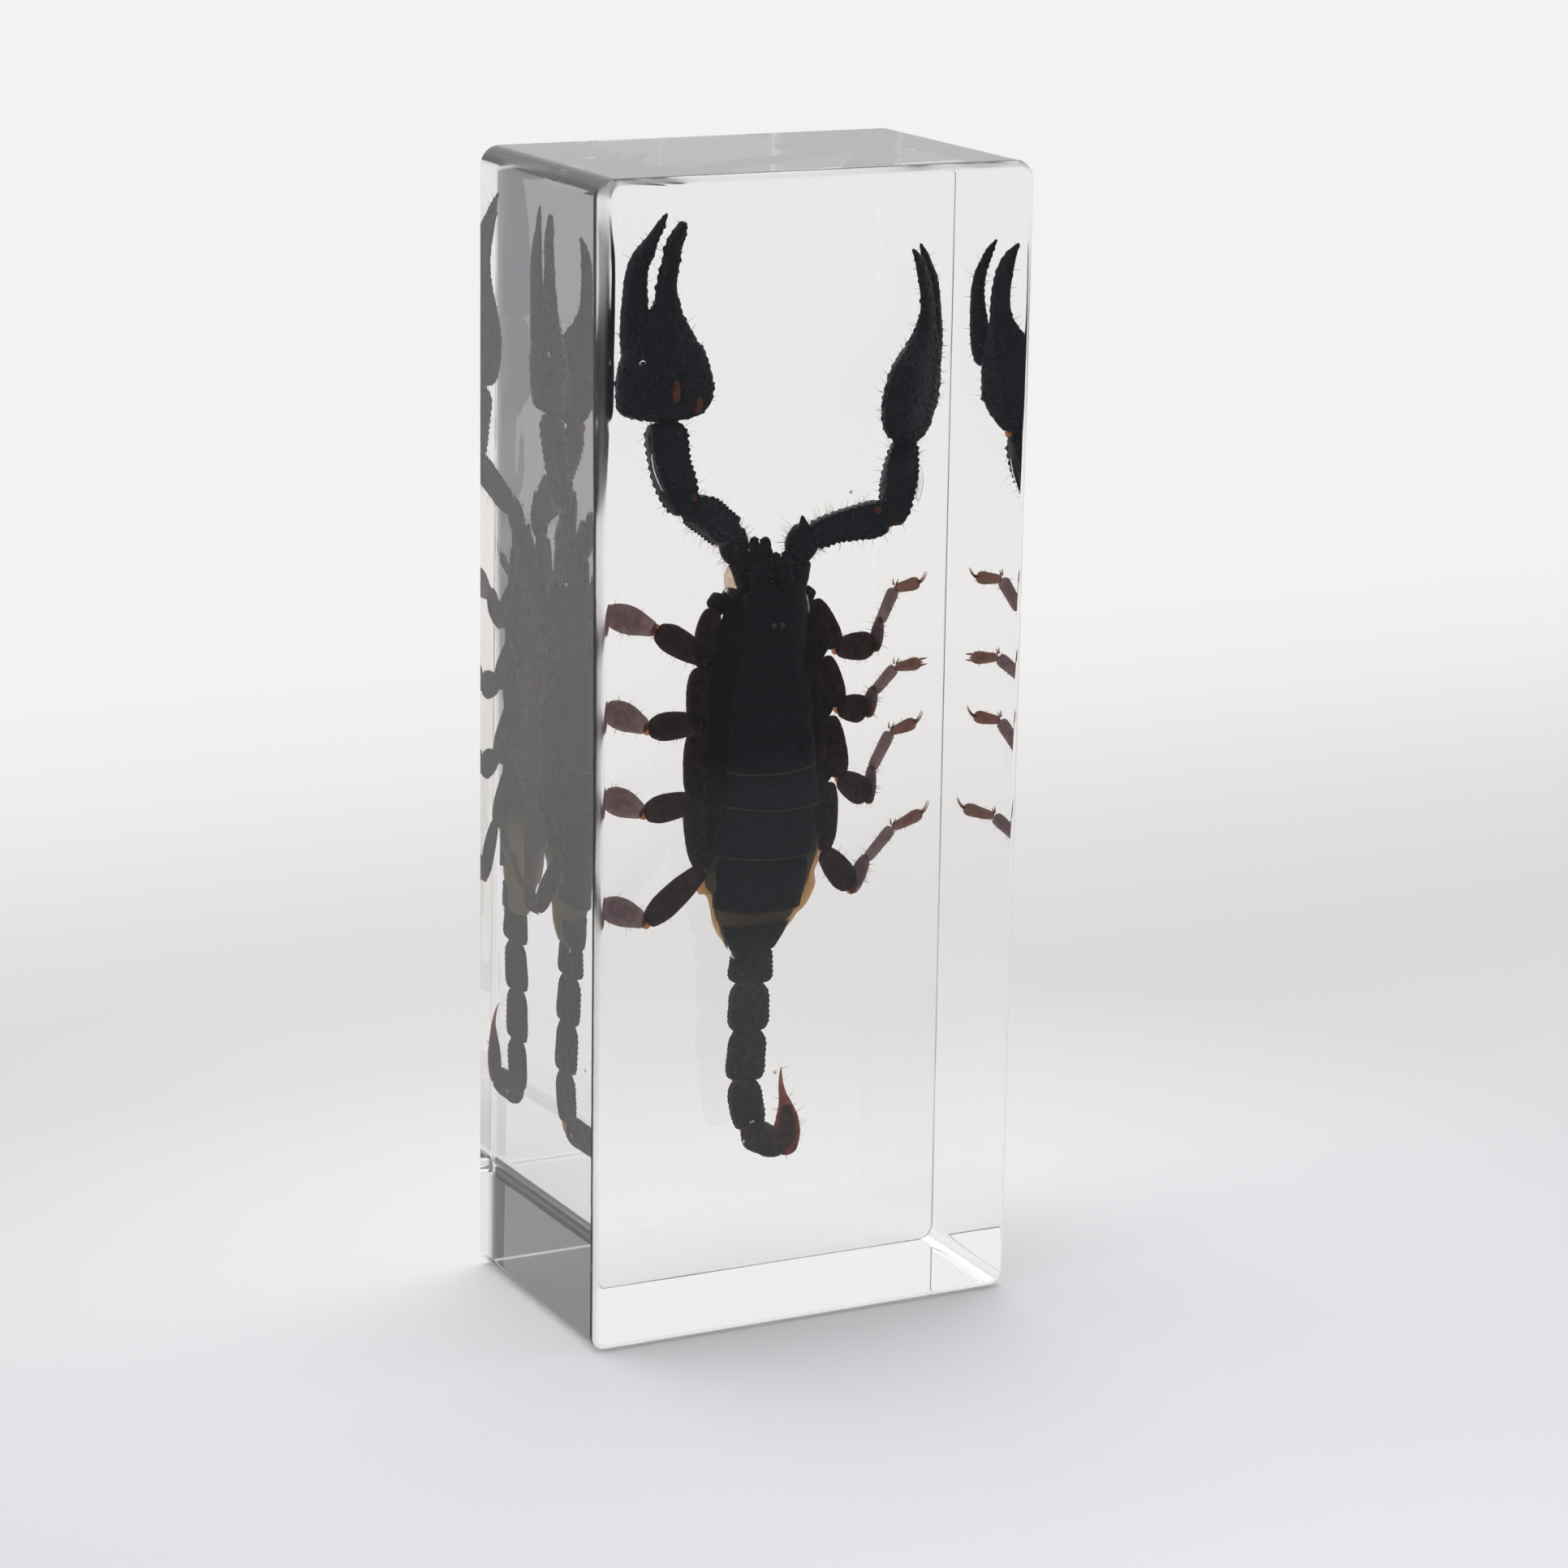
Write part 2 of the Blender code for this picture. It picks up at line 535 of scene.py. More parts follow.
def clear_armour(name, tint, depth_colour, density, clear=0.75, roughness=0.35):
    """Thin chitin: mostly transmitting, and darker the more of it light crosses."""
    material, tree, shader = new_material(name)
    dull = [DULLED * c for c in tint]
    tone = ramp(tree, noise(tree, CLEAR_CELLS), [(0.35, dull), (0.65, tint)])
    coat(tree, shader, tone, bump(tree, noise(tree, CLEAR_PITS), CLEAR_PIT_DEPTH, 0.5))
    set_sockets(shader, {
        "Roughness": roughness, "IOR": CHITIN_IOR,
        "Transmission Weight": clear, "Specular IOR Level": 0.3,
    })
    absorb(tree, depth_colour, density)
    return material


THIGH = clear_armour("thigh_armour", (0.13, 0.080, 0.080), (0.38, 0.27, 0.27), 1700.0, clear=0.86)
LEG = clear_armour("leg_armour", (0.38, 0.28, 0.29), (0.48, 0.37, 0.39), 1150.0, clear=0.88)
FOOT = clear_armour("foot_armour", (0.36, 0.22, 0.18), (0.56, 0.38, 0.34), 1300.0, clear=0.9)
TAIL = clear_armour("tail_armour", (0.11, 0.07, 0.07), (0.38, 0.24, 0.22), 1500.0, clear=0.85)
STING = clear_armour("sting_armour", (0.34, 0.11, 0.07), (0.52, 0.20, 0.13), 1100.0, clear=0.9)
SKIN = clear_armour("joint_skin", (0.60, 0.28, 0.15), (0.68, 0.36, 0.22), 900.0, clear=0.92)
MEMBRANE = clear_armour("pale_membrane", (0.88, 0.74, 0.60), (0.86, 0.70, 0.54), 350.0, clear=0.94)
HAIR = clear_armour("bristle", (0.45, 0.28, 0.18), (0.4, 0.25, 0.2), 2500.0, clear=0.6)
print("materials, with the clear ones:", len(bpy.data.materials))

# %% [markdown]
# ## Hairs
#
# A scorpion feels its way with stiff hairs. Each is thinner than a pixel is wide here,
# yet together they soften every outline. A hair is a three-sided spike that starts
# along the surface normal and bends over. All the hairs of a piece are worked out
# together: hair, ring and side are three axes of one array.

# %% Hairs on a surface
HAIR_GAP = 0.25   # the least resin outside a hair; one that would reach further is left out
ROOT_DEPTH = 0.05   # how far a hair starts below the surface
SHORTEST, LONGEST = 0.5, 1.3   # shares of the typed length
TWIST = 0.18   # how far a hair's bend strays from `lean`
RING_AT = (0.0, 0.4, 0.75)   # shares of a hair's length where its rings stand
SKEW = np.array([0.31, 0.87, 0.38])   # lies along no piece, so it can be crossed with any


def hair_faces(cloud):
    """Points and faces of hairs of ten points each: six walls, one foot and three at the tip."""
    start = 10 * np.arange(len(cloud))[:, None, None]
    i, j = np.meshgrid(np.arange(2), np.arange(3), indexing="ij")
    k = (j + 1) % 3
    walls = np.stack([i * 3 + j, i * 3 + k, i * 3 + 3 + k, i * 3 + 3 + j], -1).reshape(1, 6, 4)
    caps = np.array([[[0, 2, 1], [6, 7, 9], [7, 8, 9], [8, 6, 9]]])
    return cloud.reshape(-1, 3), (walls + start).reshape(-1, 4), (caps + start).reshape(-1, 3)


def bristles(surface, count, length, seed, lean=(0.0, 0.0, 0.0), radius=0.035):
    """Spikes rooted in random faces, larger faces being picked more often.

    The axis is root + size * (t * normal + t squared * bend) for t from 0 to 1, and
    the radius falls as 1 - t. There are three rings of three points, and one tip."""
    points, quads, _ = surface
    corner = points[quads]
    cross = np.cross(corner[:, 2] - corner[:, 0], corner[:, 3] - corner[:, 1])
    area = np.linalg.norm(cross, axis=1)
    rng = np.random.default_rng(seed)
    pick = rng.choice(len(quads), count, p=area / area.sum())
    out = unit(cross[pick] + 1e-12)
    root = corner[pick].mean(1) - out * ROOT_DEPTH
    size = length * rng.uniform(SHORTEST, LONGEST, count)[:, None]
    bend = np.asarray(lean, float) + rng.normal(0, TWIST, (count, 3))
    t = np.array(RING_AT)[None, :, None]
    axis = root[:, None] + size[:, None] * (t * out[:, None] + t**2 * bend[:, None])
    side = unit(np.cross(out, SKEW))
    other = np.cross(out, side)
    turn = 2 * np.pi * np.arange(3) / 3
    star = side[:, None] * np.cos(turn)[None, :, None] + other[:, None] * np.sin(turn)[None, :, None]
    rings = axis[:, :, None] + star[:, None] * (radius * (1 - t))[..., None]
    tip = root + size * (out + bend)
    cloud = np.concatenate([rings.reshape(count, 9, 3), tip[:, None]], 1)
    reach = np.abs(cloud[..., :2]).max(1)
    cloud = cloud[(reach < BLOCK[:2] / 2 - HAIR_GAP).all(1)]
    return hair_faces(cloud)


hair = bristles(test, count=1, length=1.0, seed=1)
print("faces of one hair:", len(hair[1]) + len(hair[2]))

# %% [markdown]
# ## The block of resin
#
# The block is a rounded rectangle with softened rims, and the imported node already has
# that shape. But a lens shows every facet of its own surface, so the cast is made
# again with exact normals, which make its faces perfectly flat. Its rims were sanded
# and buffed: the front's is nearly round, the back's is a fine flat facet, and both
# are matt. A clear rim would show black lines and second images of the claws. Clear
# resin has an index of 1.57, and it takes a little of each colour on the way through.

# %% Sizes of the cast
TOP_CORNER, FOOT_CORNER = 1.9, 1.5
FRONT_RIM, BACK_RIM = 0.85, 0.15   # the back was only just broken
FRONT_FACET, BACK_FACET = 1.7, 5.0   # 1 is a quarter circle, more is a flatter facet
WORN_RIM, WORN_FROM = 0.85, 52.0   # the front's left rim is polished wider, from this height up
RIM_STEPS, CORNER_STEPS, SIDE_STEPS = 13, 9, 5   # points of a rim, a corner, the worn stretch
PROFILE_STEPS = 2001   # of the sum that makes a rim's profile
print("narrowest and widest front rim:", FRONT_RIM, FRONT_RIM + WORN_RIM)

# %% The outline of the cast
def outline():
    """Centres, radii and outward directions of the points of the rounded rectangle.

    Each corner is a quarter circle about a fixed centre, clockwise as seen from the
    front. Points on the left side are circles' ends too, with centres along it."""
    quarter = np.linspace(0, np.pi / 2, CORNER_STEPS)
    middle = BLOCK[2] / 2
    centres, radii, ways = [], [], []
    for x_sign, z_sign, radius, start in (
        (1, 1, TOP_CORNER, 90), (1, -1, FOOT_CORNER, 0),
        (-1, -1, FOOT_CORNER, -90), (-1, 1, TOP_CORNER, 180),
    ):
        angle = np.radians(start) - quarter
        centre = (x_sign * (BLOCK[0] / 2 - radius), middle + z_sign * (middle - radius))
        centres.append(np.tile(centre, (CORNER_STEPS, 1)))
        radii.append(np.full(CORNER_STEPS, radius))
        ways.append(np.stack([np.cos(angle), np.sin(angle)], -1))
        if (x_sign, z_sign) == (-1, -1):
            height = np.linspace(WORN_FROM, BLOCK[2] - 4 * TOP_CORNER, SIDE_STEPS)
            centres.append(np.column_stack([np.full(SIDE_STEPS, -BLOCK[0] / 2 + radius), height]))
            radii.append(np.full(SIDE_STEPS, radius))
            ways.append(np.tile((-1.0, 0.0), (SIDE_STEPS, 1)))
    return np.concatenate(centres), np.concatenate(radii), np.concatenate(ways)


print("points of the outline:", len(outline()[0]))

# %% The profile of a rim
def rim_profile(power):
    """How far out and how deep a rim of size 1 has come, and which way it looks there.

    The angle of its normal grows from 0 on the face to a quarter turn on the side, as
    an odd power of the place along it, so most of it is a flat facet half way. The
    place is the running sum of the steps, each at right angles to the normal."""
    place = np.sin(np.linspace(-np.pi / 2, np.pi / 2, RIM_STEPS))
    fine = np.linspace(-1, 1, PROFILE_STEPS)
    angle = np.pi / 4 * (1 + np.sign(fine) * np.abs(fine) ** power)
    out, deep = np.cumsum(np.cos(angle)), np.cumsum(np.sin(angle))
    out, deep = (out - out[0]) / (out[-1] - out[0]), (deep - deep[0]) / (deep[-1] - deep[0])
    return [np.interp(place, fine, values)[:, None] for values in (out, deep, angle)]


print("the front's rim, half way, is out by", rim_profile(FRONT_FACET)[0][RIM_STEPS // 2])

# %% The surface of the cast
def cast_surface():
    """Rings of the outline from the front face to the back face, with their normals.

    A rim of size r takes r (1 - out) off the outline and r deep off the depth, and its
    normal is the sine of its angle outwards plus the cosine towards the face. The
    front's rim grows with the height along the left side."""
    centres, radii, ways = outline()
    climb = np.clip((centres[:, 1] - WORN_FROM) / (BLOCK[2] - WORN_FROM), 0, 1)
    front_rim = FRONT_RIM + WORN_RIM * climb * np.clip(-ways[:, 0], 0, 1)
    back_rim = np.full(len(radii), BACK_RIM)
    rings, normals = [], []
    for face, rim, power, order in (
        (-1, front_rim, FRONT_FACET, slice(None)), (1, back_rim, BACK_FACET, slice(None, None, -1)),
    ):
        out, deep, angle = rim_profile(power)
        flat = centres + ways * (radii - rim * (1 - out[order]))[..., None]
        depth = face * (BLOCK[1] / 2 - rim * deep[order])
        rings.append(np.stack([flat[..., 0], depth, flat[..., 1]], -1))
        side = ways * np.sin(angle[order])[..., None]
        normals.append(np.stack([side[..., 0], face * np.cos(angle[order]) + 0 * depth, side[..., 1]], -1))
    rings, normals = np.concatenate(rings), np.concatenate(normals)
    poles = np.array([[0, -BLOCK[1] / 2, BLOCK[2] / 2], [0, BLOCK[1] / 2, BLOCK[2] / 2]])
    points = np.concatenate([poles[:1], rings.reshape(-1, 3), poles[1:]])
    normal = np.concatenate([[[0, -1, 0]], normals.reshape(-1, 3), [[0, 1, 0]]])
    return (points, *fan_and_rings(len(rings), rings.shape[1])), normal


surface, normals = cast_surface()
print("points of the cast:", len(normals))

# %% Clear resin
WHITE = (1.0, 1.0, 1.0, 1.0)
RESIN_IOR = 1.57
RUBBED_ROUGHNESS = 0.42   # of the rims, which were only sanded and buffed

resin, tree, shader = new_material("clear_resin")
set_sockets(shader, {"Base Color": WHITE, "IOR": RESIN_IOR, "Transmission Weight": 1.0})
waves = noise(tree, 45.0, detail=1.0)   # slow waves that the polishing leaves
tree.links.new(bump(tree, waves, 0.00002, 0.12), shader.inputs["Normal"])
absorb(tree, (0.98, 0.90, 0.84), 5.0)   # blue is lost first
rubbed = tree.nodes.new("ShaderNodeAttribute")
rubbed.attribute_name = "rubbed"
roughness = tree.nodes.new("ShaderNodeMath")
roughness.operation = "MULTIPLY"
roughness.inputs[1].default_value = RUBBED_ROUGHNESS
tree.links.new(rubbed.outputs["Fac"], roughness.inputs[0])
tree.links.new(roughness.outputs["Value"], shader.inputs["Roughness"])
print("nodes in the resin:", len(tree.nodes))

# %% The cast
cast = make("resin_cast", [surface], resin, normals)
turned = 1 - np.abs(normals).max(axis=1)   # 0 on the faces, and most half way round a rim
matt = np.clip(turned / (1 - np.sqrt(0.5)), 0, 1)
cast.data.attributes.new("rubbed", "FLOAT", "POINT").data.foreach_set("value", matt)
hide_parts("resin_block")
print("cast faces:", made["resin_cast"])

# %% [markdown]
# ## Carapace and eyes
#
# The front of the body is covered by one shield, the carapace. Its front edge has a
# notch between two lobes, and a furrow runs down its middle past a low knoll with
# two eyes. Three small eyes sit at each front corner. The shield is a plate whose
# front edge is moved by a function of x, and whose furrow is a dip in the relief.

# %% The carapace
CARAPACE_FRONT = (1.75, 8.0, 69.8, 3.3, 3.1)
CARAPACE_REAR = (1.10, 8.0, 60.4, 4.25, 3.2)
EYE_SHARE = 0.44   # of the way back along the carapace


def carapace_edges(x, v):
    """The notch is a bell dip in the middle of the front edge; its corners fall as x^4."""
    return -(1 - v) ** 2 * (0.75 * bell(x, 0, 0.20) + 1.3 * x**4) + 0.35 * v**3 * x**2


def carapace_relief(x, v):
    """Furrow, knoll, side furrows, a swell and two rims, each a bell over x or over v."""
    knoll = 0.32 * bell(x, 0, 0.13) * bell(v, EYE_SHARE, 0.10)
    furrow = -0.34 * bell(x, 0, 0.055) * (1 - 0.85 * bell(v, EYE_SHARE, 0.08))
    curve = 0.30 + 0.38 * (v - 0.55)
    sides = -0.22 * bell(np.abs(x), curve, 0.07) * np.clip((v - 0.5) * 4, 0, 1)
    swell = 0.18 * np.sin(np.pi * v) * bell(np.abs(x), 0.45, 0.25)
    rims = 0.16 * bell(np.abs(x), 0.97, 0.05) + 0.10 * bell(v, 0.985, 0.02)
    return knoll + furrow + sides + swell + rims


carapace = plate(
    CARAPACE_FRONT, CARAPACE_REAR, hump=0.35, thickness=0.3, across=150, along=90,
    edges=carapace_edges, relief=carapace_relief, grain=(0.42, 0.085, 3.0),
)
make("carapace", [carapace], BACK_AND_BLUE_SHEEN)
print("carapace faces:", made["carapace"])

# %% The eyes
SIDES = {"left": -1, "right": 1}   # as seen in the picture, and the sign of x there
EYE_APART, EYE_RISE, EYE_RADIUS = 0.42, 0.16, 0.3   # of a middle eye
SMALL_EYES, SMALL_RADIUS = 3, 0.17   # of the group at one front corner

front, rear = np.array(CARAPACE_FRONT), np.array(CARAPACE_REAR)
knoll = front * (1 - EYE_SHARE) + rear * EYE_SHARE
for word, side in SIDES.items():
    middle, top = knoll[0] + side * EYE_APART, knoll[1] - knoll[4] - EYE_RISE
    rows = [(middle, y, knoll[2], EYE_RADIUS, EYE_RADIUS) for y in (top + 0.3, top - 0.24)]
    make(f"median_eye_{word}", [limb(rows, ACROSS, ends=(0.27, 0.27), around=18, along=14)], EYE)
    lenses = []
    for step in range(SMALL_EYES):
        x = front[0] + side * (2.72 + 0.16 * step)
        y, z = 6.62 + 0.30 * step, front[2] - 1.35 - 0.52 * step
        rows = [(x - side * 0.1, y + 0.14, z, SMALL_RADIUS, SMALL_RADIUS),
                (x + side * 0.16, y - 0.16, z, SMALL_RADIUS, SMALL_RADIUS)]
        lenses.append(limb(rows, ALONG_BODY, ends=(0.16, 0.16), around=12, along=10))
    make(f"lateral_eyes_{word}", lenses, EYE)
print("eyes:", sum("eye" in name for name in made), "pieces")

# %% [markdown]
# ## The seven back plates
#
# Behind the carapace lie seven tergites. The first are short, the sixth is the longest,
# and the last is short and narrow and has four keels. Each one's front edge is tucked
# under the plate ahead. Each is a plate of its own, so that the real steps between
# them catch the light, and its rear edge is slanted and bowed as on the real animal.

# %% Tergites
# x of the middle, z of the front edge, z of the rear edge, half width in front and at the
# rear, and how far the right end of the rear edge lies above the left.
TERGITES = [
    (1.20, 60.75, 58.10, 4.30, 4.55, 0.0),
    (1.25, 58.55, 55.10, 4.50, 4.75, 0.0),
    (1.30, 55.55, 51.40, 4.70, 4.95, 0.0),
    (1.40, 51.85, 47.80, 4.85, 5.35, -0.7),
    (1.20, 48.40, 43.00, 5.05, 5.3, -0.6),
    (0.80, 43.75, 37.75, 5.15, 4.6, -0.5),
    (0.10, 36.35, 33.80, 3.6, 2.5, 0.4),
]
MIDDLE_SHIFT = (0.0, 0.0, 0.1, 0.0, -0.2, -0.6, -0.3)   # of the rear edge, in x
EDGE_Y = (7.4, 7.2, 7.1, 7.1, 7.1, 7.1, 7.0)   # how deep the sides of each plate lie
BACK_Y = 4.75   # how deep the middle of the back lies
TUCK = 0.10     # how far a front edge lies below the plate ahead


def rear_edge(x, slant):
    """How far the rear edge is moved along Z: half its slant times x, and a bow as x squared."""
    return slant * x * 0.5 + 0.45 * (x**2 - 0.3)


def tergite_relief(number):
    """A ridge down the middle, a hollow in front, a raised rear rim, the last plate's four keels."""
    def relief(x, v):
        """The height at x from -1 to 1 and at v from the front to the rear."""
        spine = 0.10 * bell(x, 0, 0.10) * np.sin(np.pi * v)
        rim = 0.09 * bell(v, 0.96, 0.05)
        hollow = -0.10 * bell(v, 0.22, 0.12)
        keels = 0.0
        if number == len(TERGITES):
            near = bell(np.abs(x), 0.33, 0.05) + bell(np.abs(x), 0.72, 0.05)
            keels = 0.30 * near * np.clip((v - 0.3) * 3, 0, 1) * (0.5 + 0.5 * np.sin(26 * v) ** 2)
        return spine + rim + hollow + keels
    return relief


for number, row in enumerate(TERGITES, start=1):
    x, z_front, z_rear, w_front, w_rear, slant = row
    edge = EDGE_Y[number - 1]
    surface = plate(
        (x, edge, z_front, w_front, edge - BACK_Y - TUCK - 0.10),
        (x + MIDDLE_SHIFT[number - 1], edge, z_rear, w_rear, edge - BACK_Y + TUCK),
        hump=0.12, across=110, along=36 if number > 3 else 26,
        edges=lambda x, v, slant=slant: v * rear_edge(x, slant),
        relief=tergite_relief(number), grain=(0.36, 0.03, 10.0 + number),
    )
    make(f"tergite_{number}", [surface], BACK_AND_BLUE_SHEEN)
print("tergites:", sum(name.startswith("tergite") for name in made))

# %% [markdown]
# ## Hems of painted backlight
#
# The rear edge of a tergite is thin and lets light through, so it shows as a line of gold. Here that light
# is painted: the line is an opaque piece in a gold colour. A finish with a gradient could draw it, but as a
# piece of its own the line stays sharp. It is a thin limb on the same arc as the plate: x by the cosine and
# y by the sine of an angle, and z by the plate's own rear edge.

# %% Hems of painted backlight
HEMMED = (3, 4, 5, 6)   # the plates whose hem catches the light
HEM_STEPS, HEM_WIDE, HEM_THICK = 15, 0.10, 0.06

for number in HEMMED:
    x, _, z_rear, _, w_rear, slant = TERGITES[number - 1]
    edge = EDGE_Y[number - 1]
    angle = np.linspace(0.05, 0.95, HEM_STEPS) * np.pi
    across, rise = -np.cos(angle), np.sin(angle) ** 0.75
    hem = np.column_stack([
        x + MIDDLE_SHIFT[number - 1] + w_rear * across, edge - (edge - BACK_Y + 0.12) * rise,
        z_rear + rear_edge(across, slant), np.full(HEM_STEPS, HEM_WIDE), np.full(HEM_STEPS, HEM_THICK),
    ])
    make(f"tergite_hem_{number}", [limb(hem, (0, 0.3, 1), around=10, along=60)], HEM_PAINTED_BACKLIGHT)
print("hems:", sum(name.startswith("tergite_hem") for name in made))

# %% [markdown]
# ## The soft body
#
# Between back plates and belly plates the body is a folded, yellowish skin, which
# shows as a pale rim at the waist. Inside it is the dried body, which is what makes
# the middle of the animal black even against the light. Both are limbs with the
# body's rows, the second one smaller. The folds are a wave along the body.

# %% Rows of the body
BODY = [
    (1.4, 8.2, 69.0, 3.7, 2.3), (1.4, 8.2, 66.0, 5.0, 2.7), (1.2, 8.2, 60.5, 5.9, 2.8),
    (1.3, 8.15, 52.0, 6.3, 2.85), (1.05, 8.1, 45.0, 6.2, 2.85), (0.6, 8.1, 41.5, 6.25, 2.7),
    (0.5, 8.1, 40.2, 6.25, 2.6), (0.4, 8.0, 38.9, 5.75, 2.5), (0.1, 7.9, 37.5, 4.75, 2.4),
    (-0.1, 7.8, 36.0, 3.75, 2.25), (-0.2, 7.5, 34.6, 3.0, 2.1), (-0.2, 7.3, 33.4, 2.3, 1.8),
]
CORE_SHARE = np.array([0.8, 0.93, 0.94, 0.95, 0.95, 0.90, 0.84, 0.80, 0.84, 0.86, 0.86, 0.8])


def folds(along, turn):
    """Pleats at the sides only: a wave along the body times the square of the cosine."""
    return 0.16 * np.sin(70 * along + 2.0 * np.sin(turn)) * np.cos(turn) ** 2


def scaled(rows, width, height):
    """The same rows with the half width and half thickness multiplied."""
    rows = np.array(rows, float)
    rows[:, 3] *= width
    rows[:, 4] *= height
    return rows


print("body, widest half width:", max(row[3] for row in BODY))

# %% Side skin and dried body
CREAM_BELOW, DARK_ABOVE = 41.5, 45.0   # heights between which the skin turns from cream to dark
CREAM, DARK_SKIN = (0.80, 0.62, 0.38), (0.05, 0.03, 0.022)

folded, tree, shader = new_material("side_skin")
tone = ramp_along(tree, "Z", CREAM_BELOW * MM, DARK_ABOVE * MM, [(0.0, CREAM), (1.0, DARK_SKIN)])
coat(tree, shader, tone, bump(tree, noise(tree, 2600.0), 0.00008, 0.7))
set_sockets(shader, {
    "Roughness": 0.45, "IOR": CHITIN_IOR, "Transmission Weight": 0.85, "Specular IOR Level": 0.2,
})
absorb(tree, (0.74, 0.60, 0.42), 900.0)

side_skin = limb(BODY, ACROSS, ends=(1.5, 0.8), square=2.3, around=72, along=150, relief=[folds])
make("side_skin", [side_skin], folded)
body = limb(scaled(BODY, CORE_SHARE, 0.86), ACROSS, ends=(1.5, 1.0), square=2.6, around=48, along=70,
            grain=(1.1, 0.25, 5.0))
make("dried_body", [body], FLESH)
print("skin and body faces:", made["side_skin"], made["dried_body"])

# %% [markdown]
# ## The underside
#
# From behind one sees the belly: five smooth plates with slit-like breathing holes, a
# small five-sided breastplate, a two-part flap and a pair of combs, which only
# scorpions have. A plate with a negative arch bulges away from the viewer, so the
# same function makes the belly. A comb is a shaft with a row of small teeth.

# %% Belly plates
STERNITES = [   # as the tergites, without a slant
    (1.15, 57.2, 53.6, 4.7, 4.9), (1.25, 53.9, 49.6, 4.9, 5.0), (1.3, 49.9, 45.4, 5.0, 5.0),
    (1.2, 45.7, 41.0, 4.9, 4.5), (0.9, 40.9, 35.4, 4.3, 2.6),
]
BELLY_EDGE, BELLY_ARCH = 9.2, -1.9
BELLY_BACK = BELLY_EDGE - BELLY_ARCH   # the depth that the belly bulges to

for number, (x, z_front, z_rear, w_front, w_rear) in enumerate(STERNITES, start=1):
    last = number == len(STERNITES)
    surface = plate(
        (x, BELLY_EDGE, z_front, w_front, BELLY_ARCH + 0.10),
        (x - 0.9 * last, BELLY_EDGE - 0.9 * last, z_rear, w_rear, BELLY_ARCH - 0.12 + 0.4 * last),
        hump=0.1, across=72, along=18, thickness=0.2,
    )
    slits = []
    for side in SIDES.values() if not last else ():
        start = np.array([x + side * 2.5, BELLY_BACK + 0.02, (z_front + z_rear) / 2 - 0.2])
        stop = start + (side * 1.1, -0.32, 0.45)
        slit = [(*start, 0.12, 0.07), (*stop, 0.12, 0.07)]
        slits.append(limb(slit, ALONG_BODY, ends=(0.1, 0.1), around=10, along=12))
    make(f"sternite_{number}", [surface, *slits], BELLY)
print("belly plates:", len(STERNITES))

# %% Breastplate and flap
MID_BODY = 1.3   # x of the line that the underside mirrors about


def mirrored(rows, side):
    """Rows whose x is typed from the middle of the body, put on its left (-1) or right (1)."""
    return [(MID_BODY + side * x, *rest) for x, *rest in rows]


BREASTPLATE = [(0.0, 11.0, 63.3, 0.7, 0.35), (0.0, 11.1, 62.0, 1.15, 0.4), (0.0, 11.1, 60.7, 1.0, 0.4)]
FLAP = [(0.15, 11.15, 59.9, 0.4, 0.25), (0.95, 11.15, 59.6, 0.55, 0.3), (1.7, 11.05, 59.7, 0.35, 0.22)]

make("breastplate", [limb(mirrored(BREASTPLATE, 1), ACROSS, ends=(0.4, 0.3), square=3.0)], BELLY)
flaps = [limb(mirrored(FLAP, side), ALONG_BODY, ends=(0.15, 0.3), around=20, along=18)
         for side in SIDES.values()]
make("genital_flap", flaps, BELLY)
print("flaps:", len(flaps))

# %% Combs
COMB = [(0.4, 11.25, 58.7, 0.34, 0.22), (2.3, 11.3, 57.9, 0.42, 0.25), (4.6, 11.0, 56.0, 0.24, 0.18)]
COMB_TEETH = 15

for word, side in SIDES.items():
    shaft = mirrored(COMB, side)
    comb = [limb(shaft, ALONG_BODY, ends=(0.2, 0.2), around=16, along=24)]
    for x, y, z, *_ in through(shaft, (np.arange(COMB_TEETH) + 0.7) / COMB_TEETH):
        tooth = [(x, y, z - 0.15, 0.13, 0.13), (x - side * 0.25, y + 0.03, z - 1.05, 0.12, 0.11)]
        comb.append(limb(tooth, ACROSS, ends=(0.1, 0.12), around=8, along=8))
    make(f"comb_{word}", comb, SKIN)
print("belly pieces:", sum(name.startswith(("sternite", "comb", "breast", "genital")) for name in made))

# %% [markdown]
# ## The tail
#
# The tail is five rings and a sting. Here it hangs straight down, then bends sharply
# towards the viewer, and the sting stands up in front of it. Rings I to IV are barrels
# with ten keels, two on top, four at the sides and four below. Ring V is long and
# rounder. Between two rings shows a little brown skin. A ring is clear armour over a
# dark core of dried muscle, which is why its sides glow red and its middle is black.

# %% Keels of a tail ring
TOP_KEELS = ((0.58, 1.0), (1.18, 0.8), (1.75, 0.5))   # angle from the top, share of the height
LOW_KEELS = (0.30, 0.85)   # angles from the underside
TOP, UNDERSIDE = np.pi / 2, -np.pi / 2


def tail_keels(height, teeth, ventral=0.5):
    """Toothed keels at pairs of angles either side of the top, with a hollow between them."""
    upper = [ridge(TOP + s * a, height * share, 0.13, teeth, 0.04, 0.97)
             for a, share in TOP_KEELS for s in (-1, 1)]
    lower = [ridge(UNDERSIDE + s * a, ventral * height, 0.12, teeth, 0.06, 0.97)
             for a in LOW_KEELS for s in (-1, 1)]
    hollow = [ridge(TOP, -0.6 * height, 0.42, 0, 0.05, 0.95)]
    return upper + lower + hollow


print("keels and hollows of a ring:", len(tail_keels(1.0, 9)))

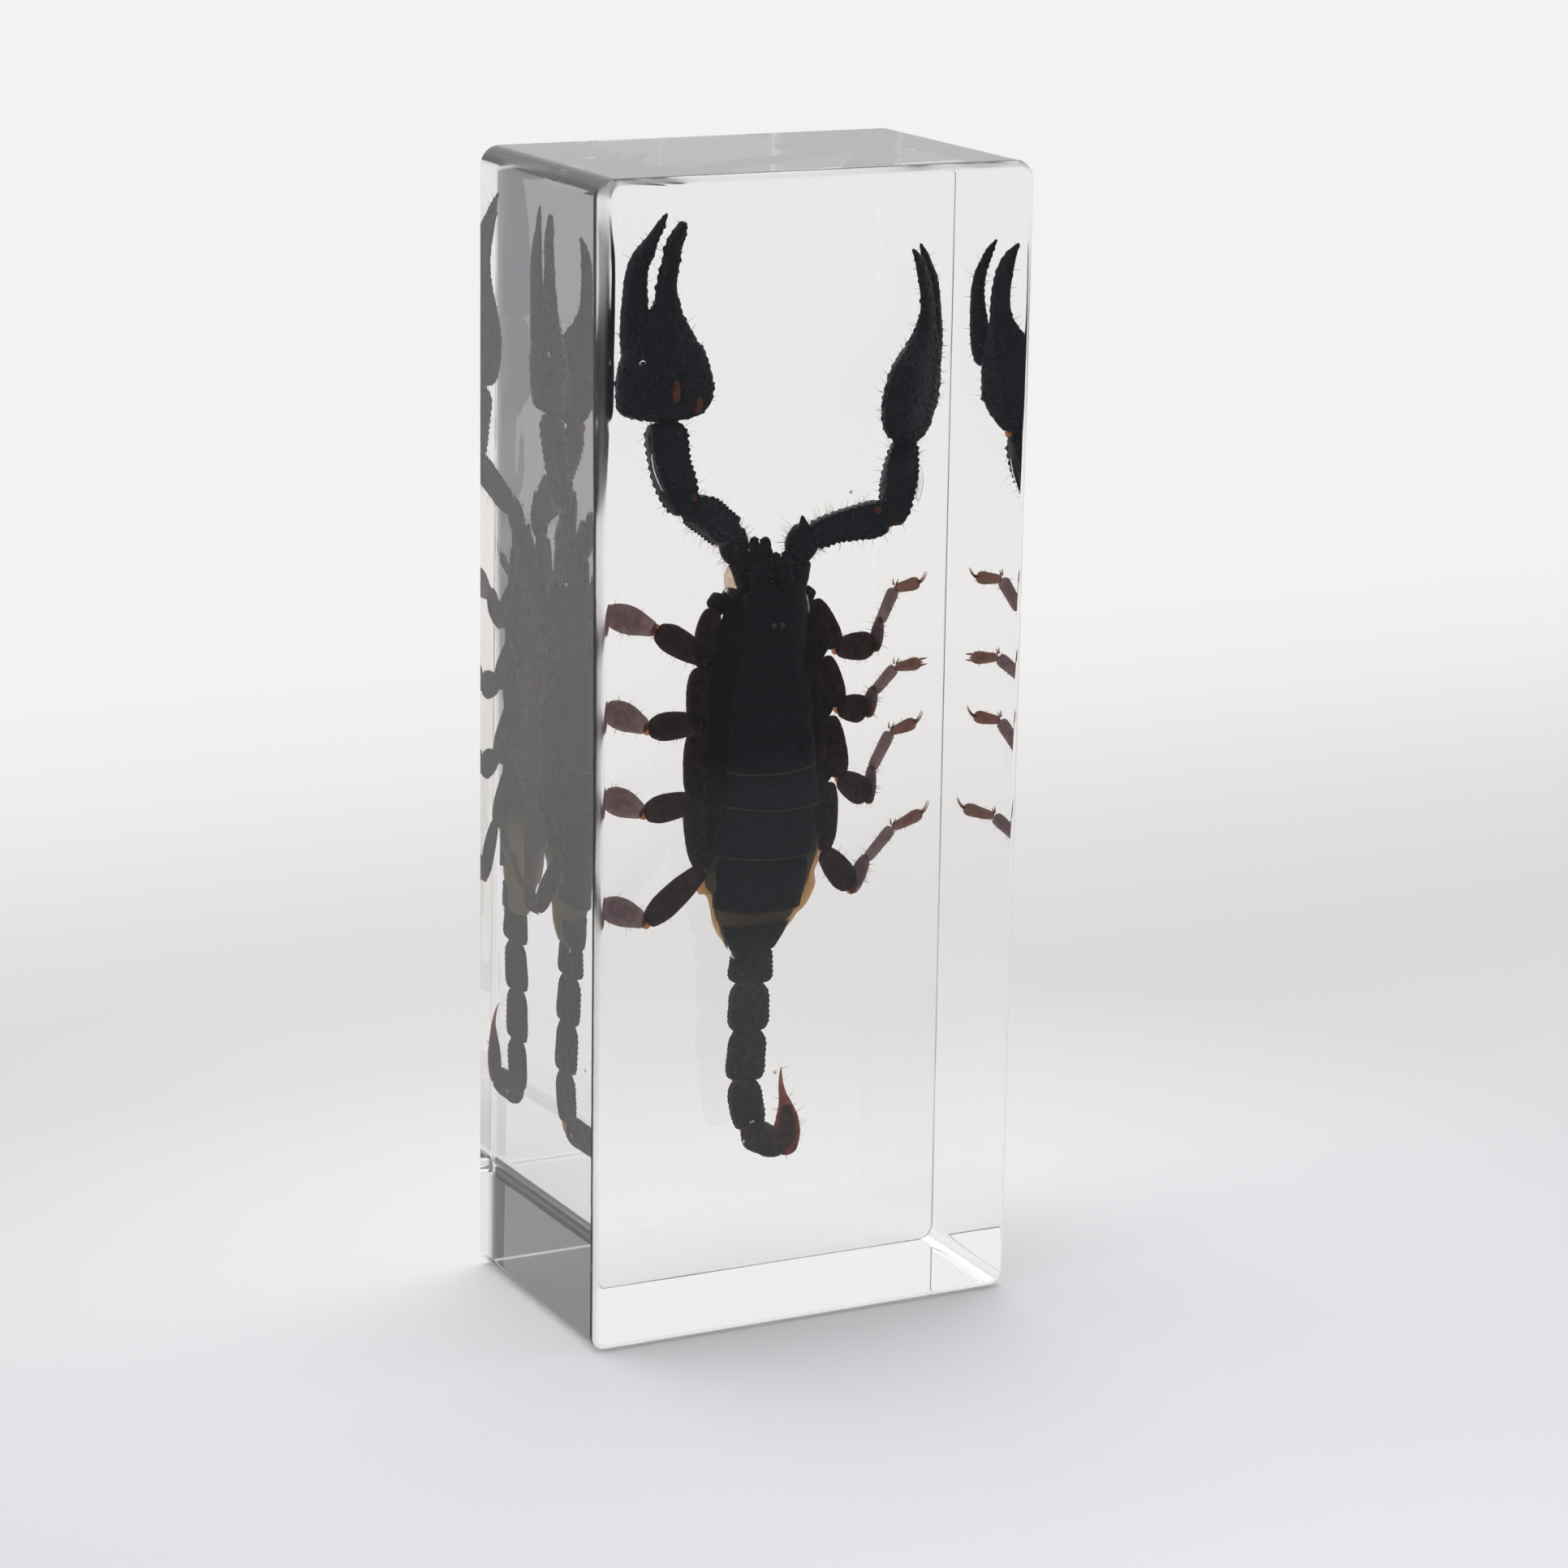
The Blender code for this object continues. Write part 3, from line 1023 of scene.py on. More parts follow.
# %% Five rings
TAIL_RINGS = [
    [(-0.16, 7.25, 34.5, 1.45, 1.45), (-0.2, 7.15, 33.5, 1.95, 1.95), (-0.28, 7.1, 32.2, 2.1, 2.15),
     (-0.36, 7.1, 31.0, 2.12, 2.2), (-0.39, 7.1, 30.5, 1.85, 1.95)],
    [(-0.39, 7.15, 30.35, 1.4, 1.45), (-0.39, 7.2, 29.5, 1.85, 1.85), (-0.38, 7.35, 28.0, 1.97, 2.02),
     (-0.37, 7.55, 26.4, 1.97, 2.05), (-0.37, 7.6, 25.7, 1.75, 1.85)],
    [(-0.37, 7.6, 25.55, 1.35, 1.4), (-0.4, 7.62, 24.6, 1.75, 1.8), (-0.5, 7.7, 23.0, 1.86, 1.92),
     (-0.6, 7.8, 21.3, 1.85, 1.92), (-0.65, 7.8, 20.6, 1.65, 1.75)],
    [(-0.65, 7.8, 20.4, 1.25, 1.3), (-0.6, 7.8, 19.4, 1.6, 1.68), (-0.4, 7.8, 18.0, 1.66, 1.72),
     (-0.12, 7.75, 16.7, 1.6, 1.66), (0.05, 7.65, 15.7, 1.4, 1.45)],
    [(0.12, 7.6, 15.1, 1.15, 1.2), (0.28, 6.6, 14.95, 1.42, 1.42), (0.62, 4.6, 14.85, 1.42, 1.42),
     (0.95, 2.7, 14.75, 1.36, 1.36), (1.25, 1.5, 14.6, 1.12, 1.12)],
]

for number, rows in enumerate(TAIL_RINGS, start=1):
    long_ring = number == len(TAIL_RINGS)
    keels = tail_keels(0.12, 13) if long_ring else tail_keels(0.20, 9)
    ring = limb(rows, ACROSS, ends=(0.18, 0.15), square=2.5, around=96, along=72,
                relief=keels, grain=(0.34, 0.045, 20.0 + number))
    make(f"metasoma_{number}", [ring], TAIL)
    core = limb(scaled(rows, 0.72, 0.78), ACROSS, ends=(0.8, 0.6), around=32, along=26,
                grain=(0.8, 0.14, 30.0 + number))
    make(f"metasoma_{number}_core", [core], FLESH)
print("faces of a ring:", made["metasoma_1"])

# %% [markdown]
# ## Skin between the rings
#
# Rings are hard and cannot bend, so between two of them is a sleeve of soft skin, and
# between the last ring and the sting is another. A sleeve is a narrower limb that
# reaches into the rings on both sides, so no gap shows. It is wrinkled by a low wave
# along its length.

# %% Six sleeves of skin
TAIL_JOINTS = [
    [(-0.1, 7.3, 35.2, 1.7, 1.6), (-0.16, 7.25, 34.2, 1.3, 1.3)],
    [(-0.38, 7.1, 30.9, 1.45, 1.5), (-0.39, 7.15, 30.0, 1.3, 1.35)],
    [(-0.37, 7.6, 26.1, 1.4, 1.45), (-0.38, 7.6, 25.2, 1.25, 1.3)],
    [(-0.64, 7.8, 21.0, 1.3, 1.35), (-0.64, 7.8, 20.1, 1.15, 1.2)],
    [(0.03, 7.72, 16.1, 1.15, 1.2), (0.12, 7.6, 15.3, 1.1, 1.15), (0.2, 7.0, 14.95, 1.1, 1.15)],
    [(1.15, 2.0, 14.65, 0.8, 0.8), (1.5, 1.15, 14.45, 0.62, 0.62), (1.85, 0.8, 14.6, 0.6, 0.6)],
]


def wrinkles(along, turn):
    """A low sine along the sleeve, the same all round."""
    return 0.05 * np.sin(25 * along) + 0 * turn


for number, rows in enumerate(TAIL_JOINTS):
    sleeve = limb(rows, ACROSS, ends=(0.3, 0.3), around=36, along=20, relief=[wrinkles])
    make(f"tail_joint_{number}", [sleeve], SKIN)
print("tail pieces:", sum(name.startswith(("metasoma", "tail")) for name in made))

# %% [markdown]
# ## The sting
#
# The last piece is a bulb full of venom that runs out into a curved, needle-like sting.
# Its shell is a deep translucent red, and the dark thing inside is the dried gland.
# A row with half widths that fall fast makes the neck, and the end length of the
# limb is set tiny so that the tip stays a needle.

# %% Bulb, gland and needle
BULB = [
    (1.90, 0.75, 13.75, 0.75, 0.70), (1.97, 0.62, 14.7, 1.15, 1.10), (2.0, 0.55, 16.2, 1.33, 1.30),
    (1.93, 0.50, 17.6, 1.12, 1.10), (1.72, 0.50, 18.9, 0.72, 0.72), (1.50, 0.62, 19.9, 0.42, 0.42),
    (1.38, 0.95, 20.9, 0.27, 0.27), (1.45, 1.35, 21.8, 0.15, 0.15), (1.60, 1.75, 22.5, 0.05, 0.05),
]
BULB_KEELS = (0.3, 2.84, -1.2, -1.94)   # angles

bulb = limb(BULB, ACROSS, ends=(0.6, 0.05), around=56, along=90, grain=(0.45, 0.05, 41.0),
            relief=[ridge(angle, 0.07, 0.2, 7, 0.05, 0.5) for angle in BULB_KEELS])
tooth = limb([(2.6, 0.9, 14.2, 0.24, 0.24), (3.15, 1.0, 14.45, 0.07, 0.07)], INTO_BLOCK,
             ends=(0.2, 0.08), around=14, along=10)
make("telson", [bulb, tooth], STING)
gland = limb(scaled(BULB[1:5], 0.62, 0.7), ACROSS, ends=(0.5, 0.6), around=28, along=24,
             grain=(0.5, 0.1, 42.0))
make("venom_gland", [gland], FLESH)
hairs = bristles(bulb, count=46, length=1.0, seed=5, lean=(0, 0, 0.5), radius=0.03)
make("telson_hairs", [hairs], HAIR)
print("telson faces:", made["telson"])

# %% [markdown]
# ## The claws
#
# A claw is a broad, flat, swollen hand that runs on into a fixed finger, and a second
# finger hinged beside it. The hand is one limb: its rows give half widths of 5 mm at
# the palm and 1 mm at the finger, and its cross-section is flat. Round grains cover
# it like pebbles, toothed keels run along it, and the fingers have a row of teeth
# where they meet. The two claws are turned differently, so each has its own rows and
# its own direction for the hand's broad side.

# %% Rows of the two claws
CLAW_FACING = {"left": (1.0, 0.0, 0.0), "right": (0.755, 0.656, 0.0)}
FINGER_FACING = {"left": (1.0, 0.0, 0.0), "right": (0.70, 0.71, 0.0)}
HANDS = {
    "left": [
        (-10.15, 5.25, 85.9, 1.4, 1.3), (-10.15, 5.25, 86.35, 3.3, 1.8), (-10.17, 5.32, 87.0, 4.4, 2.1),
        (-10.25, 5.5, 88.0, 4.85, 2.35), (-10.35, 5.7, 89.2, 4.85, 2.5), (-10.4, 5.9, 90.4, 4.7, 2.5),
        (-10.45, 6.05, 91.6, 4.35, 2.3), (-10.5, 6.1, 92.8, 3.85, 2.05), (-10.4, 6.1, 94.0, 3.1, 1.8),
        (-10.25, 6.0, 95.4, 2.0, 1.5), (-10.1, 5.9, 96.8, 1.25, 1.2), (-10.1, 6.0, 97.8, 1.05, 1.05),
        (-9.98, 6.1, 98.8, 0.92, 1.0), (-9.45, 6.55, 100.7, 0.82, 0.9), (-9.2, 6.8, 101.8, 0.78, 0.85),
        (-8.4, 7.1, 103.3, 0.6, 0.6), (-8.15, 7.25, 104.2, 0.32, 0.3),
    ],
    "right": [
        (16.4, 8.6, 82.0, 1.2, 1.2), (16.3, 8.45, 82.8, 2.5, 1.45), (16.15, 8.3, 83.8, 3.65, 1.7),
        (16.05, 8.15, 84.9, 4.15, 1.75), (16.15, 8.1, 86.0, 4.3, 1.8), (16.5, 8.2, 87.3, 4.15, 1.8),
        (17.0, 8.5, 88.6, 3.65, 1.7), (17.45, 8.8, 89.9, 2.9, 1.5), (17.8, 9.05, 91.3, 2.05, 1.2),
        (18.0, 9.2, 92.6, 1.4, 0.9), (18.15, 9.2, 94.0, 1.1, 0.62), (18.1, 9.3, 95.6, 1.0, 0.48),
        (17.85, 9.4, 97.0, 0.93, 0.42), (17.5, 9.4, 98.2, 0.8, 0.38), (17.0, 9.2, 99.4, 0.5, 0.3),
        (16.35, 9.1, 100.3, 0.14, 0.14),
    ],
}
FINGERS = {
    "left": [
        (-12.7, 6.2, 90.6, 1.1, 1.3), (-13.05, 6.3, 92.5, 1.4, 1.5), (-13.2, 6.4, 95.0, 1.35, 1.4),
        (-13.1, 6.7, 97.2, 1.2, 1.25), (-12.9, 7.0, 99.2, 1.05, 1.1), (-12.45, 7.25, 100.7, 0.93, 0.95),
        (-11.9, 7.5, 101.4, 0.85, 0.85), (-11.0, 7.9, 102.7, 0.55, 0.55), (-10.1, 8.4, 103.8, 0.4, 0.4),
        (-9.3, 8.8, 104.85, 0.13, 0.13),
    ],
    "right": [
        (19.0, 11.0, 88.5, 0.95, 1.1), (19.35, 11.5, 90.4, 1.1, 1.1), (19.6, 11.9, 92.5, 0.9, 0.95),
        (19.7, 12.2, 94.3, 0.75, 0.78), (19.65, 12.35, 96.2, 0.62, 0.64), (19.4, 12.35, 97.4, 0.56, 0.58),
        (19.05, 12.3, 98.3, 0.48, 0.5), (18.5, 12.0, 99.6, 0.32, 0.35), (17.95, 11.6, 100.55, 0.1, 0.1),
    ],
}
print("rows of the left and the right hand:", len(HANDS["left"]), len(HANDS["right"]))

# %% Grains, keels and teeth of the claws
FRONT = np.pi / 2   # the angle round a claw that looks at the camera
INWARD = {"left": 0.0, "right": np.pi}   # the angle that looks at the other finger

for word, inward in INWARD.items():
    outward = np.pi - inward
    # Of each keel: angle, height, breadth, teeth, and the shares where it starts and ends.
    keels = [
        ridge(FRONT + 0.15, 0.22, 0.10, 26, 0.05, 0.62), ridge(FRONT - 0.42, 0.20, 0.09, 26, 0.08, 0.70),
        ridge(FRONT + 0.62, 0.20, 0.09, 26, 0.05, 0.55), ridge(-FRONT + 0.2, 0.22, 0.12, 22, 0.05, 0.6),
        ridge(inward, 0.20, 0.12, 30, 0.08, 0.62), ridge(outward, 0.18, 0.30, 22, 0.62, 0.98),
    ]
    teeth = [ridge(inward, 0.16, 0.28, 20, 0.3, 0.98), ridge(FRONT, 0.12, 0.2, 20, 0.02, 0.9),
             ridge(outward, 0.10, 0.3, 20, 0.02, 0.8)]
    hand = limb(HANDS[word], CLAW_FACING[word], ends=(0.45, 0.25), square=2.35, around=176, along=230,
                relief=keels, grain=(0.58, 0.16, 50.0 + inward))
    make(f"hand_{word}", [hand], HAND_AND_BLUE_SHEEN)
    finger = limb(FINGERS[word], FINGER_FACING[word], ends=(0.7, 0.2), square=2.2, around=72, along=120,
                  relief=teeth, grain=(0.42, 0.09, 55.0 + inward))
    make(f"movable_finger_{word}", [finger], HAND_AND_BLUE_SHEEN)
    hairs = [bristles(hand, count=150, length=0.9, seed=61, lean=(0, 0, 0.4)),
             bristles(finger, count=60, length=0.8, seed=62)]
    make(f"claw_hairs_{word}", hairs, HAIR)
print("claw faces:", made["hand_left"], made["movable_finger_left"])

# %% [markdown]
# ## The arms that carry the claws
#
# Each claw hangs on four segments: a block beside the mouth, a short ring, an upper
# arm that runs outwards and a forearm that runs up. The two arm segments are boxy,
# with toothed keels along their corners. Where two segments meet, a little skin
# shows. The joint between upper arm and forearm is the clearest: orange in the photo.

# %% Rows of the arm segments
ARMS = {
    "left": {
        "coxa": [(0.9, 10.4, 66.8, 1.3, 1.3), (0.0, 10.0, 69.2, 1.4, 1.5), (-1.3, 9.1, 72.0, 1.3, 1.3)],
        "trochanter": [
            (-1.7, 8.9, 71.9, 1.15, 1.1), (-2.2, 8.3, 73.1, 1.5, 1.4), (-2.7, 7.4, 74.7, 1.3, 1.2),
        ],
        "femur": [(-2.8, 7.5, 74.6, 1.0, 1.0), (-3.6, 6.4, 74.95, 1.35, 1.4), (-5.4, 4.9, 76.25, 1.5, 1.5),
                  (-7.3, 3.5, 77.5, 1.5, 1.5), (-8.5, 2.9, 77.9, 1.2, 1.2)],
        "patella": [(-8.7, 2.9, 77.4, 1.1, 1.05), (-9.05, 3.2, 78.5, 1.5, 1.45), (-9.5, 3.7, 79.9, 1.8, 1.7),
                    (-9.95, 4.3, 81.5, 1.85, 1.8), (-10.15, 4.8, 83.2, 1.9, 1.85),
                    (-10.25, 5.2, 84.8, 1.9, 1.85), (-10.25, 5.3, 85.9, 1.5, 1.5)],
    },
    "right": {
        "coxa": [(2.8, 10.4, 66.6, 1.3, 1.3), (4.2, 10.0, 68.8, 1.6, 1.5), (4.9, 9.2, 71.5, 1.35, 1.3)],
        "trochanter": [(4.6, 9.0, 71.4, 1.2, 1.1), (4.9, 8.4, 72.8, 1.75, 1.4), (5.4, 7.9, 74.6, 1.3, 1.2)],
        "femur": [(5.5, 7.9, 73.5, 1.0, 1.0), (6.6, 7.8, 73.8, 1.35, 1.3), (8.3, 7.4, 74.35, 1.45, 1.45),
                  (10.1, 6.8, 74.7, 1.65, 1.55), (12.2, 6.1, 75.0, 1.75, 1.6), (13.4, 5.6, 75.15, 1.4, 1.2)],
        "patella": [(13.8, 5.5, 74.5, 1.0, 1.1), (14.1, 5.9, 75.4, 1.3, 1.35), (14.4, 6.5, 76.6, 1.55, 1.6),
                    (14.8, 7.2, 78.2, 1.75, 1.75), (15.2, 8.0, 79.5, 1.7, 1.7), (15.6, 8.7, 80.8, 1.4, 1.5),
                    (15.9, 9.2, 82.0, 1.1, 1.3)],
    },
}
ARM_JOINTS = {
    "left": {
        "hip": [(-1.3, 9.2, 71.5, 0.95, 1.0), (-1.8, 8.7, 72.4, 0.95, 1.0)],
        "shoulder": [(-2.6, 7.9, 74.2, 0.95, 1.0), (-3.0, 7.2, 75.1, 0.95, 1.0)],
        "elbow": [(-8.1, 3.1, 77.7, 1.0, 1.0), (-8.9, 3.0, 78.3, 1.05, 1.05)],
        "wrist": [(-10.2, 5.2, 85.3, 1.2, 1.2), (-10.2, 5.2, 86.5, 1.2, 1.2)],
    },
    "right": {
        "hip": [(4.5, 9.3, 71.0, 1.0, 1.0), (4.7, 8.8, 71.9, 1.0, 1.0)],
        "shoulder": [(5.4, 8.0, 73.5, 0.95, 1.0), (6.1, 7.9, 73.8, 0.95, 1.0)],
        "elbow": [(12.9, 5.7, 74.9, 0.9, 0.9), (13.9, 5.6, 75.3, 0.9, 0.9)],
        "wrist": [(15.8, 9.2, 81.5, 1.05, 1.05), (16.4, 9.4, 82.7, 1.1, 1.1)],
    },
}
print("segments of an arm:", len(ARMS["left"]), "and its joints:", len(ARM_JOINTS["left"]))

# %% Arm segments and their skin
BOXY = (0.72, 2.42, -0.72, -2.42)   # the four corners of a boxy segment, as angles
CORNER_KEELS = [ridge(angle, 0.36, 0.14, 13, 0.04, 0.96) for angle in BOXY]
BOX_SHAPE = {"square": 2.9, "around": 84, "along": 84, "relief": CORNER_KEELS}
ROUND_SHAPE = {"square": 2.3, "around": 40, "along": 34}

for word, segments in ARMS.items():
    for name, rows in segments.items():
        boxy = name in ("femur", "patella")
        grain = (0.42, 0.10 if boxy else 0.05, 70.0 + len(made))
        shape = BOX_SHAPE if boxy else ROUND_SHAPE
        broad = ALONG_BODY if name == "femur" else ACROSS
        surface = limb(rows, broad, ends=(0.45, 0.4), grain=grain, **shape)
        make(f"pedipalp_{name}_{word}", [surface], HAND_AND_BLUE_SHEEN)
        if name != "coxa":
            hairs = bristles(surface, count=80, length=1.2, seed=80 + len(made))
            make(f"pedipalp_{name}_hairs_{word}", [hairs], HAIR)
    for name, rows in ARM_JOINTS[word].items():
        make(f"pedipalp_{name}_skin_{word}", [limb(rows, (0.3, 0.9, 0.3), ends=(0.3, 0.3))], SKIN)
print("arm pieces:", sum(name.startswith("pedipalp") for name in made))

# %% [markdown]
# ## A spine and a pale skin
#
# A strong spine stands on the right arm's short ring, and beside the left arm's block
# a pale skin bulges out that no armour covers. Both are limbs: the spine falls to a
# tenth of a millimetre at its tip, and the skin swells in its middle and has coarse,
# low grains, as dried skin has.

# %% Spine and skin
SPINE = [(4.95, 7.6, 73.8, 0.9, 0.6), (4.8, 7.5, 74.9, 0.5, 0.4), (4.65, 7.5, 75.75, 0.1, 0.1)]
COXA_SKIN = [(-1.9, 8.6, 68.1, 0.3, 0.3), (-2.2, 8.5, 69.2, 0.8, 0.6), (-2.25, 8.5, 70.5, 0.85, 0.6),
             (-2.0, 8.6, 71.6, 0.4, 0.3)]
make("trochanter_spine", [limb(SPINE, ACROSS, ends=(0.3, 0.08), around=16, along=16)], HAND_AND_BLUE_SHEEN)
bulge = limb(COXA_SKIN, ACROSS, ends=(0.3, 0.3), around=28, along=24, grain=(0.7, 0.08, 8.0))
make("coxa_skin", [bulge], MEMBRANE)
print("spine and skin faces:", made["trochanter_spine"], made["coxa_skin"])

# %% [markdown]
# ## Amber spots
#
# Where the armour is worn or thin it shows amber: an oval and a smear in the left palm,
# the two knobs of its wrist, and a patch at each elbow. On the animal they are only a
# change of colour. Here each is a low dome that stands just proud of the armour.

# %% Amber spots
AMBER_SPOTS = [
    [(-9.85, 3.15, 89.9, 0.22, 0.12), (-9.8, 3.05, 88.9, 0.4, 0.16), (-9.8, 3.1, 87.8, 0.3, 0.12)],
    [(-7.3, 3.7, 88.3, 0.2, 0.15), (-7.4, 3.5, 87.4, 0.4, 0.2), (-7.7, 3.45, 86.7, 0.3, 0.15)],
    [(-11.5, 4.0, 86.9, 0.3, 0.2), (-11.3, 4.0, 86.4, 0.3, 0.2)],
    [(-9.95, 3.75, 86.9, 0.3, 0.2), (-9.9, 3.75, 86.3, 0.3, 0.2)],
    [(11.5, 4.75, 76.1, 0.35, 0.2), (12.2, 4.65, 75.9, 0.4, 0.2)],
    [(-8.1, 2.0, 78.6, 0.3, 0.2), (-8.3, 2.0, 79.3, 0.3, 0.2)],
]
domes = [limb(rows, ACROSS, ends=(0.3, 0.3), around=20, along=16) for rows in AMBER_SPOTS]
make("amber_spots", domes, AMBER)
print("amber spots:", len(domes))

# %% [markdown]
# ## The jaws
#
# Two small jaws stand out from under the front of the carapace, each a fat block
# with two toothed fingers as dark as the claws. One jaw is pushed further out than
# the other. A finger is a short limb with one toothed keel, and its rows are measured
# from the end of its jaw and from the middle outwards, so one table serves both jaws.

# %% Jaws
JAWS = {
    "left": [(0.45, 7.1, 68.6, 1.1, 1.2), (0.3, 7.0, 71.0, 1.2, 1.35), (0.15, 6.9, 73.3, 1.1, 1.2)],
    "right": [(2.5, 7.3, 67.8, 1.1, 1.2), (2.45, 7.2, 69.8, 1.2, 1.35), (2.3, 7.15, 71.7, 1.05, 1.2)],
}
JAW_FINGERS = (   # rows from the jaw's end, outwards being positive: the fixed one, the movable one
    [(-0.5, 0.0, -0.7, 0.55, 0.55), (-0.52, 0.0, 0.1, 0.55, 0.5), (-0.35, 0.1, 0.75, 0.36, 0.34)],
    [(0.5, 0.1, -0.6, 0.5, 0.45), (0.7, 0.1, 0.1, 0.5, 0.42), (0.55, 0.1, 0.85, 0.32, 0.3)],
)

for word, rows in JAWS.items():
    side = SIDES[word]
    block = limb(rows, ACROSS, ends=(0.5, 0.6), square=2.6, around=48, along=40, grain=(0.4, 0.05, 90.0))
    x, y, z = rows[-1][:3]
    fingers = []
    for offsets, towards in zip(JAW_FINGERS, (side, -side)):
        path = [(x + side * dx, y + dy, z + dz, wide, thick) for dx, dy, dz, wide, thick in offsets]
        teeth = ridge(0 if towards > 0 else np.pi, 0.14, 0.4, 4, 0.3, 0.95)
        fingers.append(limb(path, ACROSS, ends=(0.3, 0.3), relief=[teeth], around=28, along=30))
    make(f"chelicera_{word}", [block], BACK_AND_BLUE_SHEEN)
    make(f"chelicera_fingers_{word}", fingers, HAND_AND_BLUE_SHEEN)
    hairs = bristles(block, count=60, length=0.6, seed=93, lean=(0, 0, 0.6), radius=0.025)
    make(f"chelicera_hairs_{word}", [hairs], HAIR)
print("jaw faces:", made["chelicera_left"])

# %% [markdown]
# ## Eight legs
#
# A leg has seven segments. The first lies under the body, the third runs down along
# the flank, the fourth sticks out to a knee, and the rest goes to the back or out to
# the side, where it ends in two curved claws. One table holds the joints of each leg,
# another the outline of each kind of segment, and one loop makes all eight legs.

# %% Where the joints are
# For each leg: the ends of its first, second and third segment, the knee, the end of
# the shin, the joint with the spurs, and the tip of the foot.
LEGS = {
    "right_1": [(5.5, 10.2, 68.0), (6.6, 10.2, 67.0), (8.9, 9.2, 62.3), (12.9, 8.2, 62.35),
                (14.4, 11.6, 64.0), (16.2, 12.4, 67.2), (19.0, 12.6, 67.6)],
    "right_2": [(6.6, 10.3, 62.9), (7.9, 10.3, 61.4), (9.2, 9.2, 56.5), (12.25, 8.2, 56.0),
                (13.9, 11.6, 57.2), (16.4, 12.3, 59.4), (19.3, 12.6, 59.6)],
    "right_3": [(7.2, 10.3, 57.2), (8.6, 10.3, 55.5), (9.5, 9.2, 49.5), (12.55, 8.2, 47.3),
                (13.8, 11.6, 49.5), (16.0, 12.3, 53.0), (18.9, 12.6, 53.7)],
    "right_4": [(7.0, 10.3, 51.2), (8.6, 10.3, 49.0), (7.8, 8.9, 42.4), (10.7, 7.9, 38.5),
                (13.4, 11.6, 40.5), (16.4, 12.3, 43.3), (19.8, 12.6, 44.5)],
    "left_1": [(-3.0, 10.2, 68.2), (-4.0, 9.6, 67.0), (-5.6, 6.8, 62.75), (-10.4, 7.7, 65.85),
               (-15.6, 7.8, 67.95), (-17.8, 9.2, 70.0), (-19.5, 10.3, 71.8)],
    "left_2": [(-4.0, 10.2, 62.9), (-5.2, 9.8, 61.4), (-6.05, 6.6, 56.6), (-11.4, 6.8, 56.6),
               (-15.8, 7.1, 58.9), (-17.7, 7.6, 61.2), (-19.4, 7.9, 63.0)],
    "left_3": [(-4.3, 10.2, 57.2), (-5.5, 9.9, 55.4), (-6.25, 6.5, 49.1), (-11.7, 7.0, 48.4),
               (-15.9, 7.1, 50.5), (-17.7, 8.8, 53.2), (-19.3, 9.5, 54.6)],
    "left_4": [(-4.3, 10.2, 51.2), (-5.8, 9.8, 49.0), (-5.7, 6.0, 42.5), (-11.3, 7.2, 37.6),
               (-16.0, 7.3, 39.8), (-17.8, 9.3, 43.0), (-19.2, 10.3, 44.8)],
}
# Where the left legs start, by pair. The right legs' places are mirrored from them.
LEG_ROOTS = {1: (0.2, 10.2, 66.8), 2: (-0.1, 10.3, 64.2), 3: (-0.2, 10.3, 61.6), 4: (0.0, 10.3, 59.6)}
print("legs:", len(LEGS))

# %% One segment between two joints
# Of each segment: half width, half thickness, and the shares of them that its outline has.
OUTLINES = {
    "coxa": (1.2, 0.85, (0.8, 1.0, 1.05, 1.0, 0.8)),
    "ring": (1.0, 0.9, (0.8, 1.0, 1.05, 1.0, 0.8)),
    "thigh": (1.06, 1.25, (0.75, 1.0, 1.1, 1.05, 0.75)),
    "knee": (1.22, 0.85, (0.6, 0.9, 1.12, 1.05, 0.62)),
    "shin_right": (1.12, 0.62, (0.72, 1.0, 1.05, 0.9, 0.72)),
    "shin_left": (1.12, 0.62, (0.55, 0.85, 1.2, 1.1, 0.7)),
    "foot": (0.6, 0.5, (0.85, 0.95, 1.0, 1.05, 0.95)),
    "toe": (0.54, 0.45, (0.7, 0.85, 1.05, 1.15, 0.8)),
}
OUTLINE_AT = np.array([0.0, 0.2, 0.5, 0.8, 1.0])   # shares of the way
LEG_KEELS = [ridge(a, 0.05, 0.2, 14, 0.05, 0.95) for a in (0.5, np.pi - 0.5, -0.5, np.pi + 0.5)]


def segment(kind, start, stop, broad, seed, bow=(0, 0, 0)):
    """A leg segment between two joints, with its kind's outline and a slight bow.

    Five rows stand at fixed shares t of the way, and the bow follows 4 t (1 - t)."""
    half_wide, half_thick, shape = OUTLINES[kind]
    share = OUTLINE_AT
    line = np.asarray(start)[None] * (1 - share[:, None]) + np.asarray(stop)[None] * share[:, None]
    line = line + 4 * (share * (1 - share))[:, None] * np.asarray(bow)[None]
    rows = np.column_stack([line, half_wide * np.array(shape), half_thick * np.array(shape)])
    return limb(rows, broad, ends=(0.4, 0.35), square=2.2, around=32, along=32, relief=LEG_KEELS,
                grain=(0.35, 0.03, 100.0 + seed))


print("kinds of segment:", len(OUTLINES))

# %% Claws, spurs and joint skin
CLAW_REACH, SHORT_CLAW_REACH, SPUR_REACH = 1.15, 0.5, 0.75
CLAW_THICK, SHORT_CLAW_THICK, SPUR_THICK = 0.15, 0.14, 0.13
APART = 0.3   # how far each of a pair stands from the middle of the leg


def hook(root, ahead, bend, reach, thick):
    """A thin curved claw or spur: straight ahead at first, then along the bend, as t squared."""
    rows = []
    for t in (0.0, 0.35, 0.7, 1.0):
        point = np.asarray(root) + reach * (np.asarray(ahead) * (t - 0.25 * t**2) + np.asarray(bend) * t**2)
        rows.append((*point, thick * (1 - 0.8 * t), thick * (1 - 0.8 * t)))
    return limb(rows, SKEW, ends=(0.1, 0.04), around=8, along=14)


